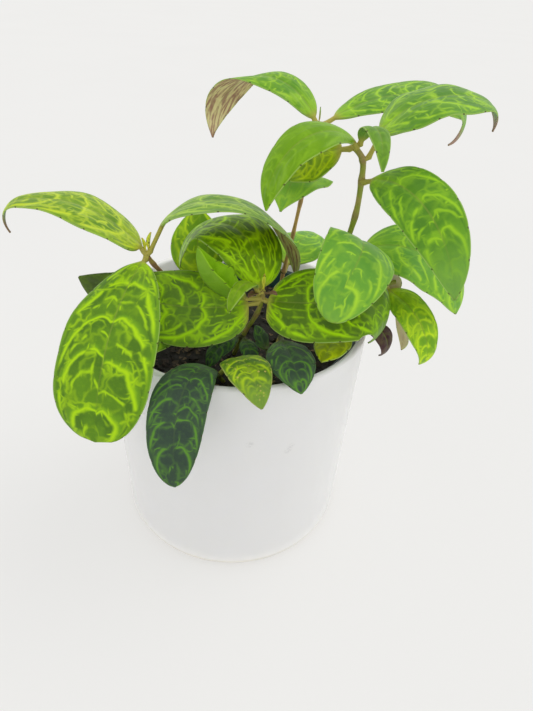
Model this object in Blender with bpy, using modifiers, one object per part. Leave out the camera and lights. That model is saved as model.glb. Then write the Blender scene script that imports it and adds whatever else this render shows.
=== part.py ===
"""A potted lipstick plant: marbled leaves on trailing stems, in a plain nursery pot of soil
that stands inside a white glazed pot.

Lengths in this file are millimetres and angles are degrees. The mesh and curve data are
scaled to metres where they are made. The origin is the middle of the pot's flat base, +Z is
up and -Y is the front.
"""

import math

import bmesh
import bpy
import numpy as np
from mathutils import Vector, noise

MM = 0.001
GAP = 0.3                      # clearance between touching pieces

# Glazed outer pot
POT_TOP_RADIUS = 63.0
POT_BASE_RADIUS = 61.7
POT_HEIGHT = 124.0
POT_WALL = 3.2
POT_FLOOR = 6.0
POT_FOOT_RADIUS = 3.0          # rounding where the wall meets the base
POT_SIDES = 72
INNER_FOOT_STEPS = 3
LIP_STEPS = 6
FOOT_STEPS = 4

# Nursery pot inside it
NURSERY_TOP_RADIUS = 56.5
NURSERY_BASE_RADIUS = 43.0
NURSERY_HEIGHT = 111.0
NURSERY_WALL = 1.2
NURSERY_RIM_WIDTH = 2.2
NURSERY_RIM_DEPTH = 7.0
NURSERY_RIM_BEVEL = 0.6
NURSERY_RIM_DRAFT = 0.3        # the rim's skirt is this much narrower at its lower edge
NURSERY_SIDES = 60
DRAIN_HOLES = 6
DRAIN_HOLE_RADIUS = 4.0
DRAIN_HOLE_SIDES = 16
DRAIN_RING_RADIUS = 30.0

# Soil
SOIL_LEVEL = 107.0
SOIL_RINGS = 5
SOIL_BUMP = 1.6
SOIL_BUMP_SPACING = 14.0
STEM_HOLE_DEPTH = 21.0
STEM_HOLE_SIDES = 12
CUTTER_OVERSHOOT = 10.0        # how far a stem hole's cutter stands out of the soil

# Stems
STEM_DEPTH = 20.0              # how deep the stems stand in the soil
STEM_COLLAR = 0.5              # the upright part of a stem ends this far above the soil
NODE_SWELL = 1.35              # a stem is this much thicker where leaves grow
ROUTE_STEPS = 3                # curve points for each stretch between route points

# Leaves
BLADE_THICKNESS = 0.8
PETIOLE_RADIUS = 0.9
RIB_TAPER = 0.45               # share of the petiole's radius lost along the midrib
PETIOLE_ROUNDNESS = 0.85       # 0 is a square section, 1 a round one
MARGIN_LAG = 1.3               # how far out of step the two margins' waves are, in radians
SEAT_FRACTION = 0.12           # share of the blade over which the petiole flattens out
BLADE_STATIONS = (0.0, 0.05, 0.12, 0.21, 0.31, 0.42, 0.53, 0.64, 0.74, 0.83, 0.91, 0.96, 1.0)
SMALL_STATIONS = (0.0, 0.08, 0.2, 0.36, 0.52, 0.68, 0.83, 0.93, 1.0)
ACROSS = (-1.0, -0.5, 0.0, 0.5, 1.0)
SMALL_ACROSS = (-1.0, 0.0, 1.0)
RIB_STEPS = 120                # steps in which a midrib is laid out

NURSERY_FLOOR_Z = POT_FLOOR + GAP
NURSERY_RIM_Z = NURSERY_FLOOR_Z + NURSERY_HEIGHT


# Scene, collections and materials

def clear_scene():
    for item in list(bpy.data.objects):
        bpy.data.objects.remove(item, do_unlink=True)


def new_collection(name):
    group = bpy.data.collections.new(name)
    bpy.context.scene.collection.children.link(group)
    return group


def new_material(name, colour, roughness, metallic=0.0):
    material = bpy.data.materials.new(name)
    material.use_nodes = True
    shader = material.node_tree.nodes["Principled BSDF"]
    shader.inputs["Base Color"].default_value = (*colour, 1.0)
    shader.inputs["Roughness"].default_value = roughness
    shader.inputs["Metallic"].default_value = metallic
    material.diffuse_color = (*colour, 1.0)
    return material


def add_object(name, data, material, group):
    item = bpy.data.objects.new(name, data)
    group.objects.link(item)
    if material is not None:
        data.materials.append(material)
    return item


def evaluated_mesh(item):
    """The object's mesh with its modifiers applied, as new data."""
    graph = bpy.context.evaluated_depsgraph_get()
    return bpy.data.meshes.new_from_object(item.evaluated_get(graph))


# Turned pieces

def turned(name, profile, sides, material, group):
    """A solid of revolution about Z. The profile, in mm, goes from the axis inside, over the
    rim and down the outer side to the axis again."""
    mesh = bpy.data.meshes.new(name)
    points = [(radius * MM, 0.0, height * MM) for radius, height in profile]
    mesh.from_pydata(points, [(i, i + 1) for i in range(len(points) - 1)], [])
    item = add_object(name, mesh, material, group)
    screw = item.modifiers.new("turn", "SCREW")
    screw.axis = "Z"
    screw.angle = math.radians(360.0)
    screw.steps = sides
    screw.render_steps = sides
    screw.use_merge_vertices = True
    screw.merge_threshold = 0.00001
    screw.use_smooth_shade = True
    return item


def arc(centre, radius, start, end, steps):
    """Points on a circle in the profile's plane, from one angle to another."""
    angles = np.radians(np.linspace(start, end, steps + 1))
    return [(centre[0] + radius * math.cos(a), centre[1] + radius * math.sin(a)) for a in angles]


def make_pot(material, group):
    """The glazed pot: a nearly straight wall with a rounded lip and a flat base."""
    lip = POT_WALL / 2.0
    inner_base = POT_BASE_RADIUS - POT_WALL
    foot = POT_FOOT_RADIUS
    profile = [(0.0, POT_FLOOR)]
    profile += arc((inner_base - foot, POT_FLOOR + foot), foot, -90.0, 0.0, INNER_FOOT_STEPS)
    profile += arc((POT_TOP_RADIUS - lip, POT_HEIGHT - lip), lip, 180.0, 0.0, LIP_STEPS)
    profile += arc((POT_BASE_RADIUS - foot, foot), foot, 0.0, -90.0, FOOT_STEPS)
    profile += [(0.0, 0.0)]
    return turned("glazed_pot", profile, POT_SIDES, material, group)


def nursery_inner_radius(height):
    """Radius of the nursery pot's inner face at a height above its base."""
    share = height / NURSERY_HEIGHT
    outer = NURSERY_BASE_RADIUS + (NURSERY_TOP_RADIUS - NURSERY_BASE_RADIUS) * share
    return outer - NURSERY_WALL


def make_nursery_pot(material, group, cutters):
    """A thin tapered pot with a turned-out rim and a ring of drainage holes."""
    base, top, wall, bevel = NURSERY_FLOOR_Z, NURSERY_RIM_Z, NURSERY_WALL, NURSERY_RIM_BEVEL
    mouth = nursery_inner_radius(NURSERY_HEIGHT)
    rim = NURSERY_TOP_RADIUS + NURSERY_RIM_WIDTH
    under_rim = nursery_inner_radius(NURSERY_HEIGHT - NURSERY_RIM_DEPTH) + wall
    profile = [
        (0.0, base + wall),
        (nursery_inner_radius(wall), base + wall),
        (mouth, top - bevel),
        (mouth + bevel, top),
        (rim - bevel, top),
        (rim, top - bevel),
        (rim - NURSERY_RIM_DRAFT, top - NURSERY_RIM_DEPTH),
        (under_rim, top - NURSERY_RIM_DEPTH),
        (NURSERY_BASE_RADIUS, base),
        (0.0, base),
    ]
    pot = turned("nursery_pot", profile, NURSERY_SIDES, material, group)
    for index in range(DRAIN_HOLES):
        angle = 2.0 * math.pi * (index + 0.5) / DRAIN_HOLES
        place = Vector((math.cos(angle), math.sin(angle), 0.0)) * DRAIN_RING_RADIUS
        cut_cylinder(pot, place + Vector((0.0, 0.0, base + wall / 2.0)), DRAIN_HOLE_RADIUS,
                     wall * 4.0, DRAIN_HOLE_SIDES, cutters)
    return pot


def cut_cylinder(target, centre, radius, height, sides, cutters):
    """Cuts a vertical round hole into an object with a live Boolean."""
    mesh = bpy.data.meshes.new(target.name + "_cutter")
    shape = bmesh.new()
    bmesh.ops.create_cone(shape, cap_ends=True, segments=sides, radius1=radius * MM,
                          radius2=radius * MM, depth=height * MM)
    shape.to_mesh(mesh)
    shape.free()
    cutter = add_object(mesh.name, mesh, None, cutters)
    cutter.location = centre * MM
    cutter.hide_render = True
    cutter.display_type = "WIRE"
    hole = target.modifiers.new("hole", "BOOLEAN")
    hole.operation = "DIFFERENCE"
    hole.solver = "EXACT"
    hole.object = cutter


def make_soil(material, group, cutters):
    """The filled inside of the nursery pot, with an uneven top and a hole for each stem."""
    level = SOIL_LEVEL - NURSERY_FLOOR_Z
    bottom = NURSERY_WALL + GAP
    top_radius = nursery_inner_radius(level) - GAP
    profile = [(radius, SOIL_LEVEL) for radius in np.linspace(0.0, top_radius, SOIL_RINGS + 1)]
    profile += [(nursery_inner_radius(bottom) - GAP, NURSERY_FLOOR_Z + bottom),
                (0.0, NURSERY_FLOOR_Z + bottom)]
    blank = turned("soil_blank", profile, NURSERY_SIDES, None, cutters)
    mesh = evaluated_mesh(blank)
    bpy.data.objects.remove(blank)
    for vertex in mesh.vertices:
        radius = math.hypot(vertex.co.x, vertex.co.y)
        on_top = math.isclose(vertex.co.z, SOIL_LEVEL * MM, abs_tol=0.01 * MM)
        at_edge = math.isclose(radius, top_radius * MM, abs_tol=0.01 * MM)
        if on_top and not at_edge:
            bump = noise.noise(Vector((vertex.co.x, vertex.co.y, 0.0)) / (SOIL_BUMP_SPACING * MM))
            vertex.co.z += bump * SOIL_BUMP * MM
    mesh.name = "soil"
    soil = add_object("soil", mesh, material, group)
    middle = SOIL_LEVEL + (CUTTER_OVERSHOOT - STEM_HOLE_DEPTH) / 2.0
    for route, radius in STEMS.values():
        centre = Vector((route[0][0], route[0][1], middle))
        cut_cylinder(soil, centre, radius + GAP, STEM_HOLE_DEPTH + CUTTER_OVERSHOOT,
                     STEM_HOLE_SIDES, cutters)
    return soil


# Stems

# Each stem's route, from the hole in the soil to its tip, and its radius. Leaves grow at
# its points, which are numbered from 0, the foot.
STEMS = {
    "a": ([(-24, 4, 107), (-28, 2, 122), (-33, -4, 138), (-37, -12, 150), (-38, -18, 157)], 1.0),
    "b": ([(0, -16, 107), (4, -19, 120), (10, -23, 135), (12, -25, 144), (12, -26, 148)], 1.0),
    "c": ([(36, 0, 107), (41, -5, 133), (45, -8, 158), (48, -9, 177), (48, -10, 192),
           (47, -11, 200), (43, -12, 205)], 1.3),
    "d": ([(18, 19, 107), (21, 17, 135), (24, 16, 156), (26, 15, 172), (28, 15, 184),
           (30, 15, 198), (31, 15, 206)], 0.85),
    "e": ([(34, 18, 107), (42, 14, 119), (53, 5, 131), (62, -4, 141), (66, -9, 146),
           (71, -9, 148)], 0.95),
    "f": ([(-3, -38, 107), (-4, -41, 114), (2, -40, 121)], 0.95),
    "g": ([(17, -26, 107), (18, -29, 117), (21, -31, 129)], 0.95),
    "h": ([(44, -8, 107), (48, -9, 117), (52, -11, 127)], 0.9),
    "i": ([(-18, 12, 107), (-20, 11, 117), (-22, 10, 127)], 0.95),
}


def smooth_route(points, steps):
    """A smooth curve through the points: Catmull-Rom, with the ends repeated."""
    points = [np.array(p, float) for p in points]
    padded = [2 * points[0] - points[1]] + points + [2 * points[-1] - points[-2]]
    route = []
    for index in range(1, len(padded) - 2):
        p0, p1, p2, p3 = padded[index - 1:index + 3]
        for step in range(steps):
            t = step / steps
            route.append(0.5 * (2 * p1 + (p2 - p0) * t + (2 * p0 - 5 * p1 + 4 * p2 - p3) * t ** 2
                                + (3 * p1 - p0 - 3 * p2 + p3) * t ** 3))
    return route + [points[-1]]


def make_stem(key, material, group):
    """A tube along the stem's route, standing upright in its hole and thicker at its nodes."""
    points, radius = STEMS[key]
    route = smooth_route(points, ROUTE_STEPS)
    foot = route[0] - np.array([0.0, 0.0, STEM_DEPTH])
    collar = route[0] + np.array([0.0, 0.0, STEM_COLLAR])
    route = [foot, collar] + route[1:]
    curve = bpy.data.curves.new("stem_" + key, "CURVE")
    curve.dimensions = "3D"
    curve.bevel_depth = radius * MM
    curve.bevel_resolution = 2
    curve.use_fill_caps = True
    spline = curve.splines.new("POLY")
    spline.points.add(len(route) - 1)
    for index, place in enumerate(route):
        at_node = index > 2 and (index - 1) % ROUTE_STEPS == 0
        spline.points[index].co = (*(place * MM), 1.0)
        spline.points[index].radius = NODE_SWELL if at_node else 1.0
    return add_object("stem_" + key, curve, material, group)


# Leaves

def unit(vector):
    return vector / np.linalg.norm(vector)


def rib_frames(start, petiole, length, heading, rise, bend, bow, hook, hook_from, sweep, tilt,
               twist):
    """Shares of the length, points, and sideways and upward directions along the petiole and
    the midrib.

    The rib starts at the angle rise above the horizontal, turns down by bend from base to
    tip, early or late as bow says, and by hook more after the share hook_from. Its heading
    turns by sweep. The blade is rolled about the rib by tilt, and by twist more at the tip.
    """
    stations = np.linspace(-petiole / length, 1.0, RIB_STEPS + 1)
    share = np.clip(stations, 0.0, 1.0)
    curl = np.clip((share - hook_from) / (1.0 - hook_from), 0.0, 1.0)
    elevation = np.radians(rise - bend * share ** bow - hook * curl)
    course = np.radians(heading + sweep * share)
    roll = np.radians(tilt + twist * share ** 2)[:, None]
    flat = np.stack([np.cos(course), np.sin(course), np.zeros_like(course)], -1)
    upright = np.array([0.0, 0.0, 1.0])
    along = np.cos(elevation)[:, None] * flat + np.sin(elevation)[:, None] * upright
    above = -np.sin(elevation)[:, None] * flat + np.cos(elevation)[:, None] * upright
    right = np.cross(along, above)
    face = np.cos(roll) * above + np.sin(roll) * right
    side = np.cos(roll) * right - np.sin(roll) * above
    step = length * (stations[1] - stations[0])
    middle = 0.5 * (along[1:] + along[:-1])
    place = np.vstack([np.zeros(3), np.cumsum(middle * step, axis=0)]) + start
    return stations, place, side, face


def half_width(share, width, base_form, tip_form):
    """Half of the blade's width at a share of its length. The two forms say how blunt the
    base and the tip are: 0.5 is round, 1 comes to a point."""
    share = np.clip(share, 0.0, 1.0)
    widest = base_form / (base_form + tip_form)
    peak = widest ** base_form * (1 - widest) ** tip_form
    return 0.5 * width * share ** base_form * (1 - share) ** tip_form / peak


def leaf_section(share, across, width, fold, arch, wave, waves, base_form, tip_form):
    """Sideways place, height and half thickness, in mm, of the points across one section.

    The halves rise from the midrib by fold and curve down again by arch, and the margins
    wave up and down by wave. The section is a rod at the petiole and a thin sheet beyond
    the seat.
    """
    stalk = PETIOLE_RADIUS * (1.0 - RIB_TAPER * min(max(share, 0.0), 1.0))
    blade = half_width(share, width, base_form, tip_form)
    half = math.hypot(blade, stalk)
    sideways = half * across
    seat = min(max(share / SEAT_FRACTION, 0.0), 1.0)
    seat = seat * seat * (3.0 - 2.0 * seat)
    height = blade * (fold * np.abs(across) - arch * across ** 2)
    phase = 2 * math.pi * waves * share + MARGIN_LAG * np.sign(across)
    height += blade * wave * across ** 2 * np.sin(phase)
    thickness = 2 * stalk * (1 - seat) + BLADE_THICKNESS * math.hypot(1.0, fold) * seat
    roundness = PETIOLE_ROUNDNESS * (1 - seat)
    depth = 0.5 * thickness * np.sqrt(1 - roundness * across ** 2)
    return sideways, height, depth


def seat_on_stem(key, node, direction):
    """Where a petiole starts, a small gap off the skin of its stem."""
    points, radius = STEMS[key]
    here = np.array(points[node], float)
    before = np.array(points[node - 1], float)
    after = np.array(points[min(node + 1, len(points) - 1)], float)
    axis = unit(after - before)
    outward = unit(direction - axis * (direction @ axis))
    lean = abs(direction @ axis)
    return here + outward * (radius * NODE_SWELL + GAP + PETIOLE_RADIUS * lean)


def make_leaf(name, key, node, material, group, length, width, heading, rise, bend, bow=1.0,
              hook=0.0, hook_from=0.75, sweep=0.0, tilt=0.0, twist=0.0, petiole=5.0, lift=0.0,
              fold=0.12, arch=0.2, wave=0.04, waves=2.5, base_form=0.6, tip_form=0.8,
              small=False):
    """One leaf, petiole and blade, as a closed loft of thin sections along its midrib. It
    grows at a numbered point of the stem named by key, raised there by lift."""
    stations = SMALL_STATIONS if small else BLADE_STATIONS
    across = np.array(SMALL_ACROSS if small else ACROSS)
    course, climb = math.radians(heading), math.radians(rise)
    direction = np.array([math.cos(course) * math.cos(climb), math.sin(course) * math.cos(climb),
                          math.sin(climb)])
    start = seat_on_stem(key, node, direction) + np.array([0.0, 0.0, lift])
    rib, place, side, face = rib_frames(start, petiole, length, heading, rise, bend, bow, hook,
                                        hook_from, sweep, tilt, twist)
    rows = []
    for share in (-petiole / length,) + stations:
        here = np.array([np.interp(share, rib, place[:, k]) for k in range(3)])
        out = unit(np.array([np.interp(share, rib, side[:, k]) for k in range(3)]))
        up = unit(np.array([np.interp(share, rib, face[:, k]) for k in range(3)]))
        sideways, height, depth = leaf_section(share, across, width, fold, arch, wave, waves,
                                               base_form, tip_form)
        surface = here + sideways[:, None] * out + height[:, None] * up
        rows.append((surface + depth[:, None] * up, surface - depth[:, None] * up))
    return add_object(name, loft_mesh(name, rows), material, group)


def loft_mesh(name, rows):
    """A closed mesh from rows of upper and lower points. The diagonals lean towards the
    midrib's tip on both sides, and each lies right above the one on the under face."""
    count = len(rows[0][0])
    mesh = bpy.data.meshes.new(name)
    shape = bmesh.new()
    rings = []
    for upper, lower in rows:
        ring = [shape.verts.new(p * MM) for p in upper]
        ring += [shape.verts.new(p * MM) for p in lower[::-1]]
        rings.append(ring)
    total = 2 * count
    middle = count // 2
    for first, second in zip(rings, rings[1:]):
        for index in range(total):
            after = (index + 1) % total
            a, b, c, d = first[index], first[after], second[after], second[index]
            on_top = index < count - 1
            column = index if index < count else total - 2 - index
            if (column < middle) == on_top:
                shape.faces.new((a, b, c))
                shape.faces.new((a, c, d))
            else:
                shape.faces.new((a, b, d))
                shape.faces.new((b, c, d))
    shape.faces.new(rings[0][::-1])
    shape.faces.new(rings[-1])
    bmesh.ops.recalc_face_normals(shape, faces=shape.faces)
    for face in shape.faces:
        face.smooth = True
    shape.to_mesh(mesh)
    shape.free()
    return mesh


def make_leaves(marbled, dark, young, group):
    # Stem a, at the left
    make_leaf("leaf_a_left", "a", 4, marbled, group, length=70, width=28, heading=186, rise=57,
              bend=92, hook=85, tilt=-3, petiole=2, tip_form=1.45)
    make_leaf("leaf_a_hanging", "a", 4, marbled, group, length=81, width=38.5, heading=-98,
              rise=0, bend=75, petiole=3, base_form=0.65, tip_form=0.4)
    make_leaf("leaf_a_over", "a", 4, marbled, group, length=84, width=26, heading=0, rise=64,
              bend=151, bow=0.75, sweep=32, tilt=-5, petiole=13)
    make_leaf("leaf_a_low", "a", 1, marbled, group, length=42, width=20, heading=-100, rise=5,
              bend=5, petiole=4)
    # Stem b, in the middle
    make_leaf("leaf_b_dome", "b", 3, marbled, group, length=72, width=35, heading=108, rise=80,
              bend=172, sweep=88, petiole=3)
    make_leaf("leaf_b_level", "b", 3, marbled, group, length=74, width=35, heading=185, rise=-12,
              bend=-35, sweep=-12, tilt=-38, petiole=4, base_form=0.4, lift=-2.5)
    make_leaf("leaf_b_right", "b", 3, marbled, group, length=66, width=34, heading=-22, rise=13,
              bend=10, hook=150, hook_from=0.58, sweep=34, tilt=36, petiole=1, lift=-0.5,
              base_form=0.35, tip_form=0.65)
    make_leaf("leaf_b_young", "b", 3, young, group, length=36, width=11, heading=194, rise=0,
              bend=-105, tilt=-18, petiole=6, fold=1.9, arch=0.0, small=True)
    make_leaf("leaf_b_newest", "b", 4, young, group, length=25, width=7, heading=240, rise=62,
              bend=140, petiole=4, small=True)
    # Stem c, the tall one at the right
    make_leaf("leaf_c_top_left", "c", 6, young, group, length=52, width=18, heading=206, rise=50,
              bend=145, bow=0.75, tilt=-16, petiole=3)
    make_leaf("leaf_c_top_small", "c", 6, young, group, length=33, width=8, heading=-78, rise=62,
              bend=140, petiole=2, small=True)
    make_leaf("leaf_c_top_back", "c", 6, marbled, group, length=30, width=22, heading=165,
              rise=-12, bend=25, tilt=-45, petiole=3)
    make_leaf("leaf_c_upper_right", "c", 5, marbled, group, length=55, width=31, heading=5,
              rise=70, bend=102, hook=70, tilt=8, petiole=9, bow=0.7, tip_form=1.0)
    make_leaf("leaf_c_broad", "c", 4, marbled, group, length=66, width=21.5, heading=-62, rise=24,
              bend=92, tilt=38, petiole=5)
    make_leaf("leaf_c_front", "c", 2, marbled, group, length=64, width=29, heading=-61, rise=65,
              bend=145, sweep=-86, tilt=-22, petiole=3, base_form=0.52, tip_form=0.5)
    make_leaf("leaf_c_low_right", "c", 2, marbled, group, length=57, width=31, heading=-12,
              rise=31, bend=112, sweep=-16, tilt=22, petiole=8, lift=1)
    make_leaf("leaf_c_pale", "c", 2, marbled, group, length=31, width=16, heading=13, rise=-6,
              bend=55, hook=40, tilt=-38, petiole=4, lift=-2)
    # Stem d, the thin tall one behind
    make_leaf("leaf_d_curled", "d", 6, marbled, group, length=71, width=18, heading=155, rise=58,
              bend=152, tilt=-28, twist=135, petiole=2)
    make_leaf("leaf_d_top_right", "d", 6, marbled, group, length=88, width=21, heading=20,
              rise=29, bend=70, hook=125, sweep=10, tilt=10, twist=60, petiole=5, tip_form=0.95)
    make_leaf("leaf_d_small", "d", 4, marbled, group, length=32, width=29, heading=-110, rise=30,
              bend=85, petiole=2, base_form=0.35, tip_form=1.05, small=True)
    make_leaf("leaf_d_round", "d", 1, marbled, group, length=36, width=28, heading=68, rise=32,
              bend=50, petiole=4)
    make_leaf("leaf_d_edge", "d", 1, dark, group, length=16, width=7, heading=200, rise=80,
              bend=15, petiole=3)
    # Stem e, behind at the right, reaching out over the rim
    make_leaf("leaf_e_hanging", "e", 4, marbled, group, length=43, width=16, heading=-49, rise=5,
              bend=95, hook=40, tilt=20, petiole=2, base_form=0.5)
    make_leaf("leaf_e_under", "e", 4, marbled, group, length=38, width=18, heading=15, rise=-48,
              bend=40, petiole=3)
    # Short stems f, g, h and i near the soil
    make_leaf("leaf_f_rim", "f", 1, dark, group, length=65, width=22.5, heading=242, rise=54,
              bend=137, bow=0.8, sweep=43, petiole=6, arch=0.12, tip_form=0.6)
    make_leaf("leaf_f_small", "f", 2, marbled, group, length=38, width=19, heading=-66, rise=54,
              bend=105, petiole=2, small=True)
    make_leaf("leaf_g_dark", "g", 2, dark, group, length=31, width=20, heading=-74, rise=15,
              bend=45, petiole=2)
    make_leaf("leaf_h_rim", "h", 2, marbled, group, length=26, width=16, heading=-112, rise=5,
              bend=15, petiole=8, small=True)
    make_leaf("leaf_h_hook", "h", 2, dark, group, length=30, width=12, heading=-44, rise=26,
              bend=35, hook=135, hook_from=0.36, petiole=3, base_form=0.5, tip_form=0.8)
    make_leaf("leaf_i_upright", "i", 2, marbled, group, length=34, width=27, heading=95, rise=65,
              bend=-5, petiole=3)
    make_leaf("leaf_b_low_left", "b", 1, dark, group, length=22, width=11, heading=225, rise=15,
              bend=90, petiole=2, small=True)
    make_leaf("leaf_b_low_front", "b", 1, dark, group, length=18, width=8, heading=-70, rise=20,
              bend=80, petiole=2, small=True)
    make_leaf("leaf_g_low", "g", 1, dark, group, length=12, width=9, heading=150, rise=60, bend=10,
              petiole=2, small=True)


def build():
    clear_scene()
    plant = new_collection("potted_lipstick_plant")
    cutters = new_collection("cutters")
    glaze = new_material("white_glaze", (0.80, 0.81, 0.80), 0.15)
    plastic = new_material("dark_plastic", (0.02, 0.06, 0.06), 0.45)
    earth = new_material("soil", (0.035, 0.025, 0.018), 0.95)
    stem_skin = new_material("stem_green", (0.20, 0.19, 0.05), 0.5)
    marbled = new_material("leaf_marbled", (0.12, 0.32, 0.03), 0.35)
    dark = new_material("leaf_dark", (0.03, 0.09, 0.05), 0.4)
    young = new_material("leaf_young", (0.16, 0.42, 0.06), 0.35)

    make_pot(glaze, plant)
    make_nursery_pot(plastic, plant, cutters)
    make_soil(earth, plant, cutters)
    for key in STEMS:
        make_stem(key, stem_skin, plant)
    make_leaves(marbled, dark, young, plant)


build()
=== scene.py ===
"""The looks of a potted lipstick plant: marbled leaves on trailing stems, in a nursery pot of
soil that stands inside a white glazed pot.

Lengths are millimetres and angles are degrees until a mesh, a camera or a light is made. The
origin is the middle of the glazed pot's flat base, +Z is up and -Y is the front.
"""

import math
from types import SimpleNamespace

import bmesh
import bpy
import numpy as np
from mathutils import Matrix, Vector, noise


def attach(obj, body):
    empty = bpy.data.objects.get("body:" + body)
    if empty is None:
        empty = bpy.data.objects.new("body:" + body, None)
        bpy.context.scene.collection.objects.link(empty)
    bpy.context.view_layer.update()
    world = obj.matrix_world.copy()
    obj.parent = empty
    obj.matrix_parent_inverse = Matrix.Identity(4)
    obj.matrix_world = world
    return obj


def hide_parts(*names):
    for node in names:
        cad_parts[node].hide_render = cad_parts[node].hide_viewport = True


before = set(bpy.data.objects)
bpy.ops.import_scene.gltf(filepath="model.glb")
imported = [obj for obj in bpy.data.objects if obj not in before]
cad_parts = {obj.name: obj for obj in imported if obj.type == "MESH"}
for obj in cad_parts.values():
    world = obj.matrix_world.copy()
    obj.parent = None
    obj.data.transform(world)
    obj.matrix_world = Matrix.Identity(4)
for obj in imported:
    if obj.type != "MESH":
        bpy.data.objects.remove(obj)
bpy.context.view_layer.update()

MM = 0.001
GAP = 0.3                      # between neighbouring parts, as in the solids

# Glazed pot
POT_TOP_RADIUS = 63.0
POT_BASE_RADIUS = 61.7
POT_HEIGHT = 124.0
POT_WALL = 3.2
POT_FLOOR = 6.0
POT_FOOT_RADIUS = 3.0
POT_SIDES = 192
GLAZE_SMUDGES = [((11.0, -61.4, 93.0), 2.4), ((28.0, -55.8, 85.0), 2.6),
                 ((29.5, -55.0, 87.5), 2.2)]

# Nursery pot
NURSERY_TOP_RADIUS = 56.5
NURSERY_BASE_RADIUS = 43.0
NURSERY_HEIGHT = 111.0
NURSERY_WALL = 1.2
NURSERY_RIM_WIDTH = 2.2
NURSERY_RIM_DEPTH = 7.0
NURSERY_RIM_BEVEL = 0.6
NURSERY_RIM_DRAFT = 0.3
NURSERY_SIDES = 144
DRAIN_HOLES = 6
DRAIN_HOLE_RADIUS = 4.0
DRAIN_RING_RADIUS = 30.0

# Soil
SOIL_LEVEL = 107.0
SOIL_BUMP = 1.6
SOIL_BUMP_SPACING = 14.0
CRUMB_HEIGHT = 1.1             # height of the soil's finer lumps
CRUMB_SPACING = 4.5
SOIL_EDGE = 6.0                # width of the band at the wall where the soil levels out
SOIL_RINGS = 48
SOIL_SPOKES = 144
CHIP_DENSITY = 52000.0         # bark chips on each square metre of soil
CHIP_LENGTH = 4.6
CHIP_SHAPE = (1.0, 0.55, 0.28)
CHIP_SEED = 11
CHIP_DROP = 4.0                # how far below the soil's level chips may lie

# Stems
STEM_DEPTH = 20.0
STEM_COLLAR = 0.5
STEM_SIDES = 20
NODE_SWELL = 1.25
ROUTE_STEPS = 14               # between two places of a stem's route
NODE_REACH = 2.6               # half length of a swollen node, in those steps
SCAR_REACH = 1.3

# Leaves
BLADE_THICKNESS = 0.8
PETIOLE_RADIUS = 0.9
RIB_TAPER = 0.45
MARGIN_WAVE = 0.04
MARGIN_WAVES = 2.5
MARGIN_LAG = 1.3
MARGIN_THINNING = 0.50
GROOVE_DEPTH = 0.30            # of the furrow along the midrib
GROOVE_WIDTH = 0.9
SEAT_FRACTION = 0.12
PETIOLE_ROUNDNESS = 0.85
RIB_STEPS = 240
BLADE_ROWS = 84
PETIOLE_ROWS = 8
ROOT_ROWS = 3
ROOT_FLARE = 0.35              # how much wider a petiole is where it leaves its stem
ROOT_REACH = 1.2
BLADE_COLUMNS = 28
GLAND_SPACING = 9.5            # between the dark dots on a margin
GLAND_NICK = 0.15
GLAND_WIDTH = 0.8
FULL_WIDTH = 36.0              # of a leaf whose marbling is at full size
ARCH_POWER = 3.2
LINE_GLOW = 0.95
BLADE_ROUGHNESS = 0.34
GLAND_COLOUR = (0.045, 0.022, 0.012)
FRECKLE_COLOUR = (0.56, 0.47, 0.11)
# Colour of the painted sheen: pale streaks of the bright sky's reflection on glossy leaves
SHEEN_PAINT_COLOUR = (0.42, 0.5, 0.33)
THORN_LENGTH = 3.3
THORN_WIDTH = 0.85
TWIG_SPACING = 5.4

NURSERY_FLOOR_Z = POT_FLOOR + GAP
NURSERY_RIM_Z = NURSERY_FLOOR_Z + NURSERY_HEIGHT

# Camera, matched to the photograph's frame of 533 by 711
CAMERA_PLACE = (15.5, -218.7, 258.7)
CAMERA_PITCH = 36.8
CAMERA_ROLL = 4.05
FOCAL_PIXELS = 525.0
FRAME_HEIGHT = 711.0
SENSOR_HEIGHT = 36.0
CLIP_END = 300.0               # in metres, like the floor's reach

# Floor and light
FLOOR_REACH = 80.0
FLOOR_GLOW = 0.50
FLOOR_LIGHT = (1.0, 0.995, 0.985, 1.0)
SKY_COLOUR = (1.0, 0.997, 0.985, 1.0)
SKY_STRENGTH = 0.87
WINDOW_COLOUR = (1.0, 0.99, 0.97)
WINDOW_STRENGTH = 0.60
WINDOW_SPREAD = 50.0
WINDOW_COURSE = (-0.75, -0.30, -1.0)


# Node trees are written as expressions on wires

class Wire:
    """The output of a node. Arithmetic on wires adds Math nodes."""

    def __init__(self, tree, socket):
        self.tree = tree
        self.socket = socket

    def math(self, operation, *values):
        return add_node(self.tree, "ShaderNodeMath", {"operation": operation}, values)

    def __add__(self, other):
        return self.math("ADD", self, other)

    __radd__ = __add__

    def __sub__(self, other):
        return self.math("SUBTRACT", self, other)

    def __rsub__(self, other):
        return self.math("SUBTRACT", other, self)

    def __mul__(self, other):
        return self.math("MULTIPLY", self, other)

    __rmul__ = __mul__

    def __truediv__(self, other):
        return self.math("DIVIDE", self, other)

    def __pow__(self, other):
        return self.math("POWER", self, other)

    def __abs__(self):
        return self.math("ABSOLUTE", self)

    def fraction(self):
        return self.math("FRACT", self)

    def floor(self):
        return self.math("FLOOR", self)

    def at_least(self, other):
        return self.math("MAXIMUM", self, other)

    def at_most(self, other):
        return self.math("MINIMUM", self, other)


def add_node(tree, kind, settings, inputs, output=0):
    """Adds a node: its settings first, then its inputs, in order or by name."""
    node = tree.nodes.new(kind)
    for key, value in settings.items():
        setattr(node, key, value)
    named = inputs.items() if isinstance(inputs, dict) else enumerate(inputs)
    for key, value in named:
        if isinstance(value, Wire):
            tree.links.new(value.socket, node.inputs[key])
        else:
            node.inputs[key].default_value = value
    return Wire(tree, node.outputs[output])


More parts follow.
